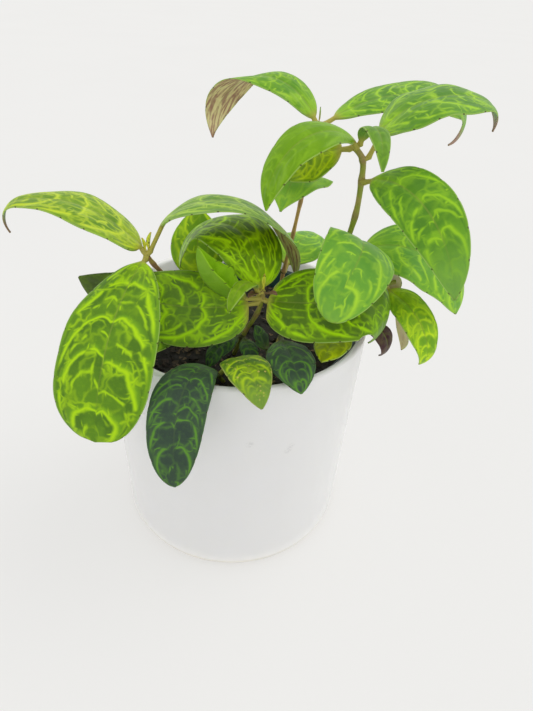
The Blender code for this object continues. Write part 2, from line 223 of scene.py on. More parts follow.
class Nodes:
    """A node tree that is being built."""

    def __init__(self, tree):
        self.tree = tree

    def node(self, kind, settings=None, inputs=(), output=0):
        return add_node(self.tree, kind, settings or {}, inputs, output)

    def attribute(self, name, output="Fac"):
        return self.node("ShaderNodeAttribute", {"attribute_name": name}, output=output)

    def parts(self, vector):
        node = self.tree.nodes.new("ShaderNodeSeparateXYZ")
        self.tree.links.new(vector.socket, node.inputs[0])
        return [Wire(self.tree, out) for out in node.outputs]

    def vector(self, x, y, z):
        return self.node("ShaderNodeCombineXYZ", inputs=(x, y, z))

    def scaled(self, vector, factor):
        return self.node("ShaderNodeVectorMath", {"operation": "SCALE"},
                         {"Vector": vector, "Scale": factor})

    def noise(self, vector, size, detail=2.0, roughness=0.5, output="Fac"):
        return self.node("ShaderNodeTexNoise", None,
                         {"Vector": vector, "Scale": 1.0 / size, "Detail": detail,
                          "Roughness": roughness}, output)

    def cells(self, vector, size, feature="F1", output="Distance"):
        return self.node("ShaderNodeTexVoronoi", {"feature": feature},
                         {"Vector": vector, "Scale": 1.0 / size}, output)

    def step(self, value, low, high):
        """A smooth change from 0 at low to 1 at high."""
        return self.node("ShaderNodeMapRange", {"interpolation_type": "SMOOTHSTEP"},
                         {"Value": value, "From Min": low, "From Max": high})

    def patches(self, vector, size, low, high, detail=2.0):
        """A mask of soft patches, 1 where noise of the given size is above high."""
        return self.step(self.noise(vector, size, detail), low, high)


class Group(Nodes):
    """A tree with named inputs and outputs: a pattern that several finishes share, or a
    Geometry Nodes tree."""

    def __init__(self, name, kind, inputs, outputs):
        super().__init__(bpy.data.node_groups.new(name, kind))
        for way, sockets in (("INPUT", inputs), ("OUTPUT", outputs)):
            for label, holds in sockets.items():
                self.tree.interface.new_socket(label, in_out=way,
                                               socket_type="NodeSocket" + holds)
        self.start = self.tree.nodes.new("NodeGroupInput")
        self.end = self.tree.nodes.new("NodeGroupOutput")

    def given(self, label):
        return Wire(self.tree, self.start.outputs[label])

    def finish(self, label, result):
        self.tree.links.new(result.socket, self.end.inputs[label])
        return self.tree


class Finish(Nodes):
    """A procedural material that is being made."""

    def __init__(self, name):
        self.material = bpy.data.materials.new(name)
        self.material.use_nodes = True
        super().__init__(self.material.node_tree)

    def object_place(self):
        """The point on the piece, in millimetres."""
        return self.scaled(self.node("ShaderNodeTexCoord", output="Object"), 1.0 / MM)

    def blend(self, factor, first, second):
        """A mix of two colours, each a wire or three numbers."""
        colours = [c if isinstance(c, Wire) else (*c, 1.0) for c in (first, second)]
        return self.node("ShaderNodeMix", {"data_type": "RGBA"},
                         {0: factor, 6: colours[0], 7: colours[1]}, output=2)

    def painted(self, colour, *layers):
        """The colour under layers of paint, each a mask from 0 to 1 and a colour."""
        for mask, paint_colour in layers:
            colour = self.blend(mask, colour, paint_colour)
        return colour

    def bump(self, height, distance, strength, under=None):
        inputs = {"Height": height, "Distance": distance * MM, "Strength": strength}
        if under is not None:
            inputs["Normal"] = under
        return self.node("ShaderNodeBump", inputs=inputs)

    def surface(self, **values):
        """Sets the shader's sockets: wires are linked and constants are set on the socket."""
        for key, value in values.items():
            socket = self.tree.nodes["Principled BSDF"].inputs[key.replace("_", " ")]
            if isinstance(value, Wire):
                self.tree.links.new(value.socket, socket)
            else:
                socket.default_value = value
        return self.material


# Finishes of the pots and the soil

def glaze_finish():
    """White glaze: glossy, a little uneven, with faint specks and a painted contact shadow, darker
    and warmer, round the foot. The wall lets some light through, which brightens its inside."""
    paint = Finish("white_glaze")
    place = paint.object_place()
    height = paint.parts(place)[2]
    cloud = paint.noise(place, 38.0, detail=3.0)
    specks = paint.step(paint.cells(place, 13.0), 0.045, 0.02)
    rare = paint.patches(place, 21.0, 0.60, 0.68)
    foot = paint.step(height, 5.0, 0.6)
    wisps = paint.patches(place, 1.6, 0.40, 0.62, detail=3.0)
    colour = paint.blend(cloud, (0.965, 0.948, 0.895), (0.990, 0.978, 0.932))
    colour = paint.blend(specks * rare * 0.5, colour, (0.42, 0.40, 0.37))
    for centre, reach in GLAZE_SMUDGES:
        apart = paint.node("ShaderNodeVectorMath", {"operation": "DISTANCE"}, (place, centre),
                           output="Value")
        smudge = paint.step(apart, reach, reach * 0.3) * wisps * 0.22
        colour = paint.blend(smudge, colour, (0.42, 0.41, 0.39))
    # Painted contact shadow: the lowest 5 mm turn towards a warm brown where the pot meets the floor
    colour = paint.blend(foot * 0.60, colour, (0.60, 0.52, 0.38))
    roughness = 0.16 + 0.12 * paint.noise(place, 24.0, detail=4.0)
    orange_peel = paint.bump(paint.noise(place, 6.0, detail=1.0), 0.05, 0.35)
    return paint.surface(Base_Color=colour, Roughness=roughness, Normal=orange_peel,
                         Coat_Weight=0.2, Coat_Roughness=0.06, Subsurface_Weight=0.8,
                         Subsurface_Radius=(1.0, 0.98, 0.9), Subsurface_Scale=8.0 * MM)


def nursery_finish():
    """Dark blue-green plastic with a fine grain, dusty with soil in patches."""
    paint = Finish("dark_plastic")
    place = paint.object_place()
    grain = paint.noise(place, 1.2, detail=3.0)
    dust = paint.patches(place, 7.0, 0.50, 0.72, detail=5.0)
    colour = paint.blend(grain, (0.014, 0.062, 0.062), (0.024, 0.085, 0.082))
    colour = paint.blend(dust * 0.45, colour, (0.075, 0.060, 0.045))
    roughness = 0.36 + 0.3 * dust
    return paint.surface(Base_Color=colour, Roughness=roughness,
                         Normal=paint.bump(grain, 0.06, 0.5))


def soil_finish():
    """Damp potting mix: nearly black crumbs with some brown bits."""
    paint = Finish("soil")
    place = paint.object_place()
    lumps = paint.noise(place, 3.2, detail=6.0, roughness=0.65)
    pick = paint.parts(paint.cells(place, 1.9, output="Color"))[0]
    colour = paint.blend(lumps, (0.012, 0.013, 0.011), (0.050, 0.044, 0.034))
    colour = paint.blend(paint.step(pick, 0.88, 0.96) * 0.8, colour, (0.230, 0.165, 0.090))
    bumps = paint.bump(lumps, 1.3, 0.9)
    fine = paint.bump(paint.cells(place, 1.9), 0.5, 0.8, under=bumps)
    roughness = 0.95 - 0.35 * paint.step(lumps, 0.55, 0.8)
    return paint.surface(Base_Color=colour, Roughness=roughness, Normal=fine)


def bark_finish():
    """Bark and coir: brown chips with a lighter broken face and fine fibres."""
    paint = Finish("bark_chip")
    place = paint.object_place()
    chip = paint.noise(place, 5.5, detail=1.0)
    fibre = paint.noise(place, 0.8, detail=4.0, roughness=0.7)
    colour = paint.blend(paint.step(chip, 0.35, 0.65), (0.018, 0.015, 0.012),
                         (0.070, 0.052, 0.036))
    colour = paint.blend(paint.step(fibre, 0.60, 0.76) * 0.6, colour, (0.230, 0.160, 0.085))
    return paint.surface(Base_Color=colour, Roughness=0.75 + 0.2 * fibre,
                         Normal=paint.bump(fibre, 0.35, 0.8))


# Finishes of the plant

def stem_finish(name, skin, patches):
    """Stem skin with dark streaks along it, browner in patches, at its nodes and at the tops
    of the tall stems."""
    paint = Finish(name)
    place = paint.object_place()
    x, y, height = paint.parts(place)
    mottle = paint.noise(place, 6.0, detail=3.0)
    streaks = paint.noise(paint.vector(x, y, height * 0.07), 0.5, detail=2.0)
    fine = paint.noise(place, 0.6, detail=3.0)
    colour = paint.painted(
        paint.blend(paint.step(mottle, 0.40, 0.64), skin, patches),
        (paint.step(streaks, 0.56, 0.68) * 0.45, (0.110, 0.085, 0.030)),
        (paint.step(height, 196.0, 205.0) * 0.3, (0.240, 0.140, 0.070)),
        (paint.attribute("node_ring") * 0.4, (0.260, 0.150, 0.090)),
        (paint.step(fine, 0.64, 0.74) * 0.4, (0.130, 0.070, 0.040)))
    return paint.surface(Base_Color=colour, Roughness=0.42 + 0.2 * fine,
                         Normal=paint.bump(fine, 0.15, 0.7))


# What a look tells the marbling
MARBLING_NUMBERS = ("Spacing", "Legs", "Ribs", "Ribs End", "Breadth", "Twigs")


def thorn_strokes(paint, sideline, key, rung, offset, pitch):
    """Short tapered strokes that leave an arch on one side of it, each of its own length.

    sideline runs along the arches and offset away from them, both in millimetres. Each
    stroke belongs to one stretch of sideline and one arch, and key sets it apart.
    """
    stretch = sideline / pitch + key
    number = paint.vector(stretch.floor(), (rung + 0.5).floor(), key)
    draw = paint.parts(paint.node("ShaderNodeTexWhiteNoise", inputs={"Vector": number},
                                  output=1))
    which = paint.step(draw[0], 0.49, 0.51) * 2.0 - 1.0
    out = offset * which
    length = 1.2 + draw[1] * THORN_LENGTH
    slant = ((draw[0] * 2.0).fraction() - 0.5) * 0.8
    centre = 0.4 + 0.2 * draw[2] + slant * out / pitch
    beside = abs(stretch.fraction() - centre) * pitch
    width = paint.given("Breadth") * THORN_WIDTH * (1.0 - 0.5 * out / length)
    thick = paint.step(beside / width, 1.0, 0.0)
    return thick * paint.step(out, length, length - 2.4) * paint.step(out, -1.0, 0.0)


def marbling():
    """The masks of a blade's marbling: the bright lines, the soft glow round them, and how
    near the margin a point is.

    The lines are arches that cross the midrib, round towards the tip on both sides, and run
    on to the margins. Short thorns and forked twigs leave them, broken arches lie between
    them, and near the base ribs run lengthwise.
    """
    paint = Group("marbling", "ShaderNodeTree", dict.fromkeys(MARBLING_NUMBERS, "Float"),
                  {"Masks": "Vector"})
    along, across, seed = paint.parts(paint.attribute("blade", "Vector"))
    edge = paint.attribute("edge")
    share = paint.attribute("share")
    size = paint.attribute("size")
    place = paint.vector(along, across, seed * 40.0)
    spacing = paint.given("Spacing") * (0.42 + 0.58 * size)
    full_climb = paint.given("Legs") * size
    broad = paint.parts(paint.noise(place, 11.0, detail=1.0, output="Color"))
    close = paint.parts(paint.noise(place, 3.6, detail=1.0, output="Color"))
    right_half = paint.step(across, -0.3, 0.3)
    along = along + (broad[0] - 0.5) * 8.0 * size + (close[0] - 0.5) * 1.8
    across = across + (broad[1] - 0.5) * 5.0 * size + (close[1] - 0.5) * 1.8
    reach = abs(across)
    half = reach + edge + 0.01
    outward = (reach / half).at_most(0.99)
    brow = (0.28 - outward).at_least(0.0)
    climb = full_climb * outward ** ARCH_POWER + 26.0 * size * brow * brow
    steepness = ARCH_POWER * full_climb * outward ** (ARCH_POWER - 1.0) / half.at_least(2.0)
    stretch = (1.0 + steepness * steepness) ** 0.5
    rung = (along - climb) / spacing + paint.attribute("shift")
    rung = rung + right_half * (paint.noise(place, 26.0, detail=0.0) - 0.5) * 0.8
    offset = ((rung + 0.5).fraction() - 0.5) * spacing / stretch
    distance = abs(offset)
    swell = paint.noise(place, 4.6, detail=1.0)
    fray = paint.noise(place, 1.5, detail=1.0)
    rim = paint.step(outward, 0.97, 0.84)
    gaps = paint.patches(place, 8.0, 0.30, 0.44, detail=1.0)
    slim = paint.given("Breadth")
    breadth = (0.40 + 0.9 * swell + 1.0 * fray) * (0.5 + 0.5 * size) * slim
    arches = paint.step(distance, breadth, 0.0) * gaps * rim
    middle = (rung.fraction() - 0.5) * spacing / stretch
    here = paint.patches(place, 7.0, 0.43, 0.56, detail=1.0) * paint.step(outward, 0.90, 0.62)
    broken = paint.step(abs(middle), (0.5 + 1.2 * fray) * slim, 0.0) * here
    crest = paint.step(steepness, 1.25, 0.75)
    beside = along + right_half * 31.0
    thorns = thorn_strokes(paint, across, seed, rung, offset, 3.4) * crest
    legs = thorn_strokes(paint, beside, seed + 5.0, rung, offset, 3.9) * (1.0 - crest)
    thorns = thorns.at_least(legs) * gaps
    third = thorn_strokes(paint, across + 1.1, seed + 9.0, rung + 0.5, middle, 3.6)
    thorns = thorns.at_least(third * here * crest) * rim
    wander = paint.vector(along + close[1] * 2.6, across + close[2] * 2.6, seed * 40.0)
    twig_edge = paint.cells(wander, TWIG_SPACING, feature="DISTANCE_TO_EDGE") * TWIG_SPACING
    near = (0.45 + 0.55 * paint.step(distance, 5.0, 1.5)) * paint.given("Twigs")
    chosen = paint.patches(place, 6.0, 0.36, 0.50, detail=0.0) * near * rim
    twigs = paint.step(twig_edge, (0.5 + 0.8 * fray) * slim, 0.0) * chosen
    ribs = abs((outward * 4.5 + 0.6 * broad[2] + 0.3 * close[2]).fraction() - 0.5) * half / 4.5
    ribs = paint.step(ribs, 0.70, 0.0) * paint.step(share, paint.given("Ribs End"), 0.08)
    ribs = ribs * paint.step(outward, 0.04, 0.14) * paint.step(outward, 0.90, 0.80)
    ribs = ribs * paint.step(swell, 0.34, 0.46) * paint.given("Ribs")
    lines = arches.at_least(thorns * 0.85).at_least(broken * 0.8).at_least(twigs * 0.8)
    lines = lines.at_least(ribs)
    glow = paint.step(offset, 1.9, 0.2) * paint.step(offset, -3.8, -0.2) * gaps * rim
    inside = paint.step(offset, 0.2, 1.4) * paint.step(offset, 8.0, 3.5)
    glow = glow.at_least((1.0 - inside) * 0.25)
    glow = glow.at_least(paint.step(twig_edge, 1.8, 0.2) * 0.65 * chosen).at_least(thorns)
    glow = glow.at_least(broken).at_least(paint.step(outward, 0.84, 1.0) * 0.75)
    return paint.finish("Masks", paint.vector(lines, glow.at_least(ribs), outward))


def blade_finish(name, look, net_masks, under=False):
    """A leaf's face: marbled, with a paler margin, dark gland dots on it and a brown tip, which on
    one look is painted shade. Some looks lay pale lengthwise streaks of painted sheen over it.
    """
    paint = Finish(name)
    along, across, seed = paint.parts(paint.attribute("blade", "Vector"))
    share = paint.attribute("share")
    edge = paint.attribute("edge")
    numbers = {label: getattr(look, label.lower().replace(" ", "_"))
               for label in MARBLING_NUMBERS}
    masks = paint.node("ShaderNodeGroup", {"node_tree": net_masks}, numbers)
    lines, glow, outward = paint.parts(masks)
    place = paint.object_place()
    grain = paint.noise(place, 1.3, detail=3.0)
    cloud = paint.noise(place, 12.0, detail=2.0)
    flat = paint.vector(along * 0.12, across, seed * 9.0)
    silk = paint.noise(flat, 0.7, detail=2.0)
    streak = paint.noise(flat, 2.6, detail=2.0)
    contrast, streaky = look.contrast, look.streaky
    ground, shade, net = look.ground, look.shade, look.net
    held = paint.step(share, look.fade_from + 0.36, look.fade_from)
    depth = (1.0 - glow * LINE_GLOW) * (0.55 + 0.9 * cloud) * (0.4 + 0.6 * held)
    if under:
        streaky = look.under_streaky
        contrast *= 1.0 - 0.75 * streaky
        depth = depth * (1.0 - streaky)
        ground, shade, net = look.under, look.mottle, look.under_net
        drawn = paint.patches(flat, 0.9, 0.43, 0.58, detail=3.0) * paint.step(share, 0.12, 0.50)
    else:
        drawn = paint.patches(flat, 1.3, 0.50, 0.60) * paint.step(outward, 0.25, 0.60)
    pale_base = paint.step(along, 16.0, 0.0) * paint.step(outward, 0.9, 0.2)
    rib = paint.step(abs(across), 0.45, 0.10) * paint.step(share, 0.95, 0.5)
    colour = paint.painted(
        paint.blend(depth.at_most(1.0), ground, shade),
        (drawn * streaky, shade),
        ((1.0 - held) * 0.35, look.faded),
        (lines * held * contrast, net),
        (pale_base * look.pale_base, net),
        (rib * 0.45, look.rib),
        (paint.step(edge, 0.50, 0.10) * 0.6, look.margin))
    if look.freckles:
        chosen = paint.parts(paint.cells(place, 1.3, output="Color"))[0]
        freckles = paint.step(paint.cells(place, 1.3), 0.45, 0.2) * paint.step(chosen, 0.74, 0.8)
        colour = paint.blend(freckles * look.freckles, colour, FRECKLE_COLOUR)
    dots = abs((along / GLAND_SPACING + seed).fraction() - 0.5) * GLAND_SPACING
    glands = paint.step(dots, 0.5, 0.2) * paint.step(edge, 0.6, 0.2)
    ragged = share + (grain - 0.5) * 0.06 + (outward - 0.5) * 0.03
    tip = paint.step(ragged, look.brown_from, look.brown_from + 0.09)
    colour = paint.painted(
        colour,
        (glands * paint.step(share, 0.02, 0.1) * 0.85, GLAND_COLOUR),
        (paint.step(along, 4.0, -1.0), look.petiole),
        # The tip: a dried brown on most looks, and on b_level's look a painted shade
        (tip * 0.9, look.tip),
        ((grain - 0.5).at_least(0.0) * 0.3, net),
        # Painted sheen: pale lengthwise streaks of reflected sky
        (paint.step(streak, 0.50, 0.72) * look.bloom, SHEEN_PAINT_COLOUR))
    relief = paint.bump(lines * -0.5 + glow * 0.5, 0.35, 0.5)
    pleats = paint.bump(streak, 0.55, look.pleats, under=relief)
    fine = paint.bump(silk, 0.10, 0.5, under=pleats)
    roughness = BLADE_ROUGHNESS + 0.12 * silk + 0.06 * lines
    return paint.surface(Base_Color=colour, Roughness=roughness, Normal=fine,
                         IOR=1.25, Subsurface_Weight=0.08,
                         Subsurface_Radius=(0.8, 1.0, 0.3), Subsurface_Scale=0.8 * MM)


# Pieces

def placed(name, data):
    """A new object in the scene that holds the data."""
    item = bpy.data.objects.new(name, data)
    bpy.context.scene.collection.objects.link(item)
    return item


def add_piece(name, mesh, materials, slot, *nodes):
    """Places a finished mesh in the scene as a piece that rides on the only body."""
    piece = placed(name, mesh)
    for index, material in enumerate(materials):
        if index < len(mesh.materials):
            mesh.materials[index] = material
        else:
            mesh.materials.append(material)
    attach(piece, "root")
    if nodes:
        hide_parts(*nodes)
    return piece


def smoothed(mesh, merged=False):
    """Turns a mesh's faces outwards and shades them smooth. Points that coincide may be
    merged first."""
    shape = bmesh.new()
    shape.from_mesh(mesh)
    if merged:
        bmesh.ops.remove_doubles(shape, verts=shape.verts, dist=0.001 * MM)
    bmesh.ops.recalc_face_normals(shape, faces=shape.faces)
    shape.to_mesh(mesh)
    shape.free()
    mesh.shade_smooth()
    return mesh


def mesh_from(name, points, faces):
    """A smooth mesh from points in millimetres."""
    mesh = bpy.data.meshes.new(name)
    mesh.from_pydata([tuple(p * MM for p in point) for point in points], [], faces)
    return smoothed(mesh, merged=True)


def arc(centre, radius, start, end, steps):
    angles = np.radians(np.linspace(start, end, steps + 1))
    return [(centre[0] + radius * math.cos(a), centre[1] + radius * math.sin(a)) for a in angles]


def turned(name, profile, sides):
    """A solid of revolution about Z from a profile that starts and ends on the axis."""
    points = [(0.0, 0.0, profile[0][1]), (0.0, 0.0, profile[-1][1])]
    inner = profile[1:-1]
    for radius, height in inner:
        for side in range(sides):
            angle = 2 * math.pi * side / sides
            points.append((radius * math.cos(angle), radius * math.sin(angle), height))
    faces = []
    last = 2 + (len(inner) - 1) * sides
    for side in range(sides):
        after = (side + 1) % sides
        faces.append((0, 2 + side, 2 + after))
        faces.append((1, last + after, last + side))
        for ring in range(len(inner) - 1):
            low, high = 2 + ring * sides, 2 + (ring + 1) * sides
            faces.append((low + side, high + side, high + after, low + after))
    return mesh_from(name, points, faces)


def eased(points, steps):
    """The points with more between each two, so that a long wall has even faces."""
    route = []
    for first, second in zip(points, points[1:]):
        for step in range(steps):
            share = step / steps
            route.append((first[0] + (second[0] - first[0]) * share,
                          first[1] + (second[1] - first[1]) * share))
    return route + [points[-1]]


def make_glazed_pot():
    lip = POT_WALL / 2.0
    foot = POT_FOOT_RADIUS
    inner_base = POT_BASE_RADIUS - POT_WALL
    lip_arc = arc((POT_TOP_RADIUS - lip, POT_HEIGHT - lip), lip, 180.0, 0.0, 18)
    inner_foot = arc((inner_base - foot, POT_FLOOR + foot), foot, -90.0, 0.0, 8)
    outer_foot = arc((POT_BASE_RADIUS - foot, foot), foot, 0.0, -90.0, 12)
    profile = [(0.0, POT_FLOOR)] + inner_foot
    profile += eased([inner_foot[-1], lip_arc[0]], 16)[1:-1] + lip_arc
    profile += eased([lip_arc[-1], outer_foot[0]], 16)[1:-1] + outer_foot + [(0.0, 0.0)]
    mesh = turned("white_pot", profile, POT_SIDES)
    return add_piece("white_pot", mesh, [glaze_finish()], "white_glaze", "glazed_pot")


def nursery_inner_radius(height):
    share = height / NURSERY_HEIGHT
    outer = NURSERY_BASE_RADIUS + (NURSERY_TOP_RADIUS - NURSERY_BASE_RADIUS) * share
    return outer - NURSERY_WALL


def make_nursery_pot():
    """The nursery pot, with its rolled rim. The drainage holes are cut as in the solid."""
    base, top, wall, bevel = NURSERY_FLOOR_Z, NURSERY_RIM_Z, NURSERY_WALL, NURSERY_RIM_BEVEL
    mouth = nursery_inner_radius(NURSERY_HEIGHT)
    rim = NURSERY_TOP_RADIUS + NURSERY_RIM_WIDTH
    under_rim = nursery_inner_radius(NURSERY_HEIGHT - NURSERY_RIM_DEPTH) + wall
    profile = [(0.0, base + wall), (nursery_inner_radius(wall), base + wall)]
    profile += arc((mouth + bevel, top - bevel), bevel, 180.0, 90.0, 4)
    profile += arc((rim - bevel, top - bevel), bevel, 90.0, 0.0, 4)
    profile += [(rim - NURSERY_RIM_DRAFT, top - NURSERY_RIM_DEPTH),
                (under_rim, top - NURSERY_RIM_DEPTH), (NURSERY_BASE_RADIUS, base), (0.0, base)]
    blank = placed("inner_pot_blank", turned("inner_pot", profile, NURSERY_SIDES))
    punch = placed("drain_punch", drain_punch(base + wall / 2.0, wall * 4.0))
    holes = blank.modifiers.new("drain_holes", "BOOLEAN")
    holes.operation = "DIFFERENCE"
    holes.solver = "EXACT"
    holes.object = punch
    mesh = evaluated_mesh(blank, "inner_pot")
    bpy.data.objects.remove(punch)
    return add_piece("inner_pot", mesh, [nursery_finish()], "dark_plastic", "nursery_pot")


def drain_punch(height, depth):
    """One mesh of round pegs, a peg for each drainage hole."""
    shape = bmesh.new()
    for index in range(DRAIN_HOLES):
        angle = 2 * math.pi * (index + 0.5) / DRAIN_HOLES
        place = Vector((math.cos(angle), math.sin(angle), 0.0)) * DRAIN_RING_RADIUS
        place.z = height
        bmesh.ops.create_cone(shape, cap_ends=True, segments=24, radius1=DRAIN_HOLE_RADIUS * MM,
                              radius2=DRAIN_HOLE_RADIUS * MM, depth=depth * MM,
                              matrix=Matrix.Translation(place * MM))
    mesh = bpy.data.meshes.new("drain_punch")
    shape.to_mesh(mesh)
    shape.free()
    return mesh


def evaluated_mesh(item, name):
    """The object's mesh after its modifiers. The object itself is removed."""
    graph = bpy.context.evaluated_depsgraph_get()
    mesh = bpy.data.meshes.new_from_object(item.evaluated_get(graph))
    bpy.data.objects.remove(item)
    mesh.name = name
    return mesh


def soil_height(x, y, radius, rim):
    """Height of the soil's top at a point, level at its edge."""
    broad = noise.noise(Vector((x, y, 0.0)) / SOIL_BUMP_SPACING) * SOIL_BUMP
    crumbs = noise.noise(Vector((x, y, 7.0)) / CRUMB_SPACING) * CRUMB_HEIGHT
    fine = noise.noise(Vector((x, y, 3.0)) / (CRUMB_SPACING * 0.4)) * CRUMB_HEIGHT * 0.5
    settle = min(1.0, (rim - radius) / SOIL_EDGE)
    return SOIL_LEVEL + (broad + crumbs + fine) * settle


def make_soil():
    level = SOIL_LEVEL - NURSERY_FLOOR_Z
    bottom = NURSERY_WALL + GAP
    rim = nursery_inner_radius(level) - GAP
    top = [(rim * ring / SOIL_RINGS, SOIL_LEVEL) for ring in range(SOIL_RINGS + 1)]
    wall = eased([(rim, SOIL_LEVEL), (nursery_inner_radius(bottom) - GAP,
                                      NURSERY_FLOOR_Z + bottom)], 6)[1:]
    mesh = turned("soil_bed", top + wall + [(0.0, NURSERY_FLOOR_Z + bottom)], SOIL_SPOKES)
    for vertex in mesh.vertices:
        x, y, z = vertex.co / MM
        radius = math.hypot(x, y)
        if z > SOIL_LEVEL - 0.01 and radius < rim - 0.01:
            vertex.co.z = soil_height(x, y, radius, rim) * MM
    return add_piece("soil_bed", mesh, [soil_finish()], "soil", "soil")


def make_bark(soil):
    """Bark chips and bits of coir scattered over the soil's top."""
    bark = bark_finish()
    growth = Group("bark_scatter", "GeometryNodeTree",
                   {"Geometry": "Geometry", "Density": "Float", "Chip Length": "Float",
                    "Chip Seed": "Int"}, {"Geometry": "Geometry"})
    seed = growth.given("Chip Seed")
    upright = growth.parts(growth.node("GeometryNodeInputNormal"))[2]
    height = growth.parts(growth.node("GeometryNodeInputPosition"))[2]
    faces_up, on_top = (
        growth.node("FunctionNodeCompare", {"operation": "GREATER_THAN"}, (value, limit))
        for value, limit in ((upright, 0.3), (height, (SOIL_LEVEL - CHIP_DROP) * MM)))
    chosen = growth.node("FunctionNodeBooleanMath", {"operation": "AND"}, (faces_up, on_top))
    spots = growth.node("GeometryNodeDistributePointsOnFaces", {"distribute_method": "RANDOM"},
                        {"Mesh": growth.given("Geometry"), "Selection": chosen,
                         "Density": growth.given("Density"), "Seed": seed})
    block = growth.node("GeometryNodeMeshCube", inputs={"Size": CHIP_SHAPE, "Vertices X": 4,
                                                        "Vertices Y": 3, "Vertices Z": 3})
    ripple = growth.node("ShaderNodeTexNoise", inputs={"Scale": 1.7, "Detail": 2.0},
                         output="Color")
    push = growth.node("ShaderNodeVectorMath", {"operation": "SUBTRACT"},
                       (ripple, (0.5, 0.5, 0.5)))
    chip = growth.node("GeometryNodeSetPosition", inputs={"Geometry": block,
                                                          "Offset": growth.scaled(push, 0.9)})
    chip = growth.node("GeometryNodeSetShadeSmooth", inputs={"Geometry": chip,
                                                             "Shade Smooth": False})
    turn = growth.node("FunctionNodeRandomValue", {"data_type": "FLOAT_VECTOR"},
                       {0: (-0.7, -0.7, 0.0), 1: (0.7, 0.7, 2 * math.pi), "Seed": seed})
    small = growth.node("FunctionNodeRandomValue", {"data_type": "FLOAT"},
                        {2: 0.25, 3: 1.0, "Seed": seed}, output=1)
    chips = growth.node("GeometryNodeInstanceOnPoints",
                        inputs={"Points": spots, "Instance": chip, "Rotation": turn,
                                "Scale": small * small * growth.given("Chip Length")})
    real = growth.node("GeometryNodeRealizeInstances", inputs={"Geometry": chips})
    growth.finish("Geometry", growth.node("GeometryNodeSetMaterial",
                                          inputs={"Geometry": real, "Material": bark}))
    mesh = grown_on(soil.data, growth.tree, "bark_chips",
                    {"Density": CHIP_DENSITY, "Chip Length": CHIP_LENGTH * MM,
                     "Chip Seed": CHIP_SEED})
    return add_piece("bark_chips", mesh, [bark], "soil")


def grown_on(mesh, tree, name, sizes):
    """What a Geometry Nodes tree makes of a mesh when its inputs have the given sizes."""
    host = placed("growing", mesh)
    growing = host.modifiers.new("growing", "NODES")
    growing.node_group = tree
    for item in tree.interface.items_tree:
        if item.in_out == "INPUT" and item.name in sizes:
            growing[item.identifier] = sizes[item.name]
    return evaluated_mesh(host, name)


# Stems

STEMS = {
    "a": ([(-24, 4, 107), (-28, 2, 122), (-33, -4, 138), (-37, -12, 150), (-38, -18, 157)], 1.0),
    "b": ([(0, -16, 107), (4, -19, 120), (10, -23, 135), (12, -25, 144), (12, -26, 148)], 1.0),
    "c": ([(36, 0, 107), (41, -5, 133), (45, -8, 158), (48, -9, 177), (48, -10, 192),
           (47, -11, 200), (43, -12, 205)], 1.15),
    "d": ([(18, 19, 107), (21, 17, 135), (24, 16, 156), (26, 15, 172), (28, 15, 184),
           (30, 15, 198), (31, 15, 206)], 0.85),
    "e": ([(34, 18, 107), (42, 14, 119), (53, 5, 131), (62, -4, 141), (66, -9, 146),
           (71, -9, 148)], 0.95),
    "f": ([(-3, -38, 107), (-4, -41, 114), (2, -40, 121)], 0.95),
    "g": ([(17, -26, 107), (18, -29, 117), (21, -31, 129)], 0.95),
    "h": ([(44, -8, 107), (48, -9, 117), (52, -11, 127)], 0.9),
    "i": ([(-18, 12, 107), (-20, 11, 117), (-22, 10, 127)], 0.95),
}

# The skin of each stem and its browner patches. The other stems are olive.
OLIVE_SKIN = ("stem_olive", (0.320, 0.360, 0.045), (0.430, 0.340, 0.100))
STEM_SKINS = {
    "a": ("stem_red_brown", (0.500, 0.250, 0.150), (0.580, 0.400, 0.130)),
    "d": ("stem_tan", (0.700, 0.440, 0.140), (0.560, 0.340, 0.110)),
}


def smooth_route(points, steps):
    """A smooth curve through the points: Catmull-Rom, with the ends repeated."""
    points = [np.array(p, float) for p in points]
    padded = [2 * points[0] - points[1]] + points + [2 * points[-1] - points[-2]]
    route = []
    for index in range(1, len(padded) - 2):
        p0, p1, p2, p3 = padded[index - 1:index + 3]
        for step in range(steps):
            t = step / steps
            route.append(0.5 * (2 * p1 + (p2 - p0) * t + (2 * p0 - 5 * p1 + 4 * p2 - p3) * t ** 2
                                + (3 * p1 - p0 - 3 * p2 + p3) * t ** 3))
    return route + [points[-1]]


def tube(name, route, radii, scars):
    """A closed tube along a route, one ring of points at each place. scars holds how much
    each place shows a leaf scar, from 0 to 1."""
    sides = STEM_SIDES
    route = [np.array(p, float) for p in route]
    points, faces = [], []
    across = None
    for index, place in enumerate(route):
        before = route[max(index - 1, 0)]
        after = route[min(index + 1, len(route) - 1)]
        along = unit(after - before)
        if across is None:
            across = unit(np.cross(along, (0.31, 0.83, 0.22)))
        across = unit(across - along * (across @ along))
        other = np.cross(along, across)
        for side in range(sides):
            angle = 2 * math.pi * side / sides
            points.append(place + radii[index] * (math.cos(angle) * across
                                                  + math.sin(angle) * other))
    for index in range(len(route) - 1):
        low, high = index * sides, (index + 1) * sides
        for side in range(sides):
            after = (side + 1) % sides
            faces.append((low + side, low + after, high + after, high + side))
    last = (len(route) - 1) * sides
    faces.append(tuple(range(sides))[::-1])
    faces.append(tuple(last + side for side in range(sides)))
    mesh = mesh_from(name, points, faces)
    ring = mesh.attributes.new("node_ring", "FLOAT", "POINT")
    ring.data.foreach_set("value", np.repeat(np.array(scars, np.float32), sides))
    return mesh


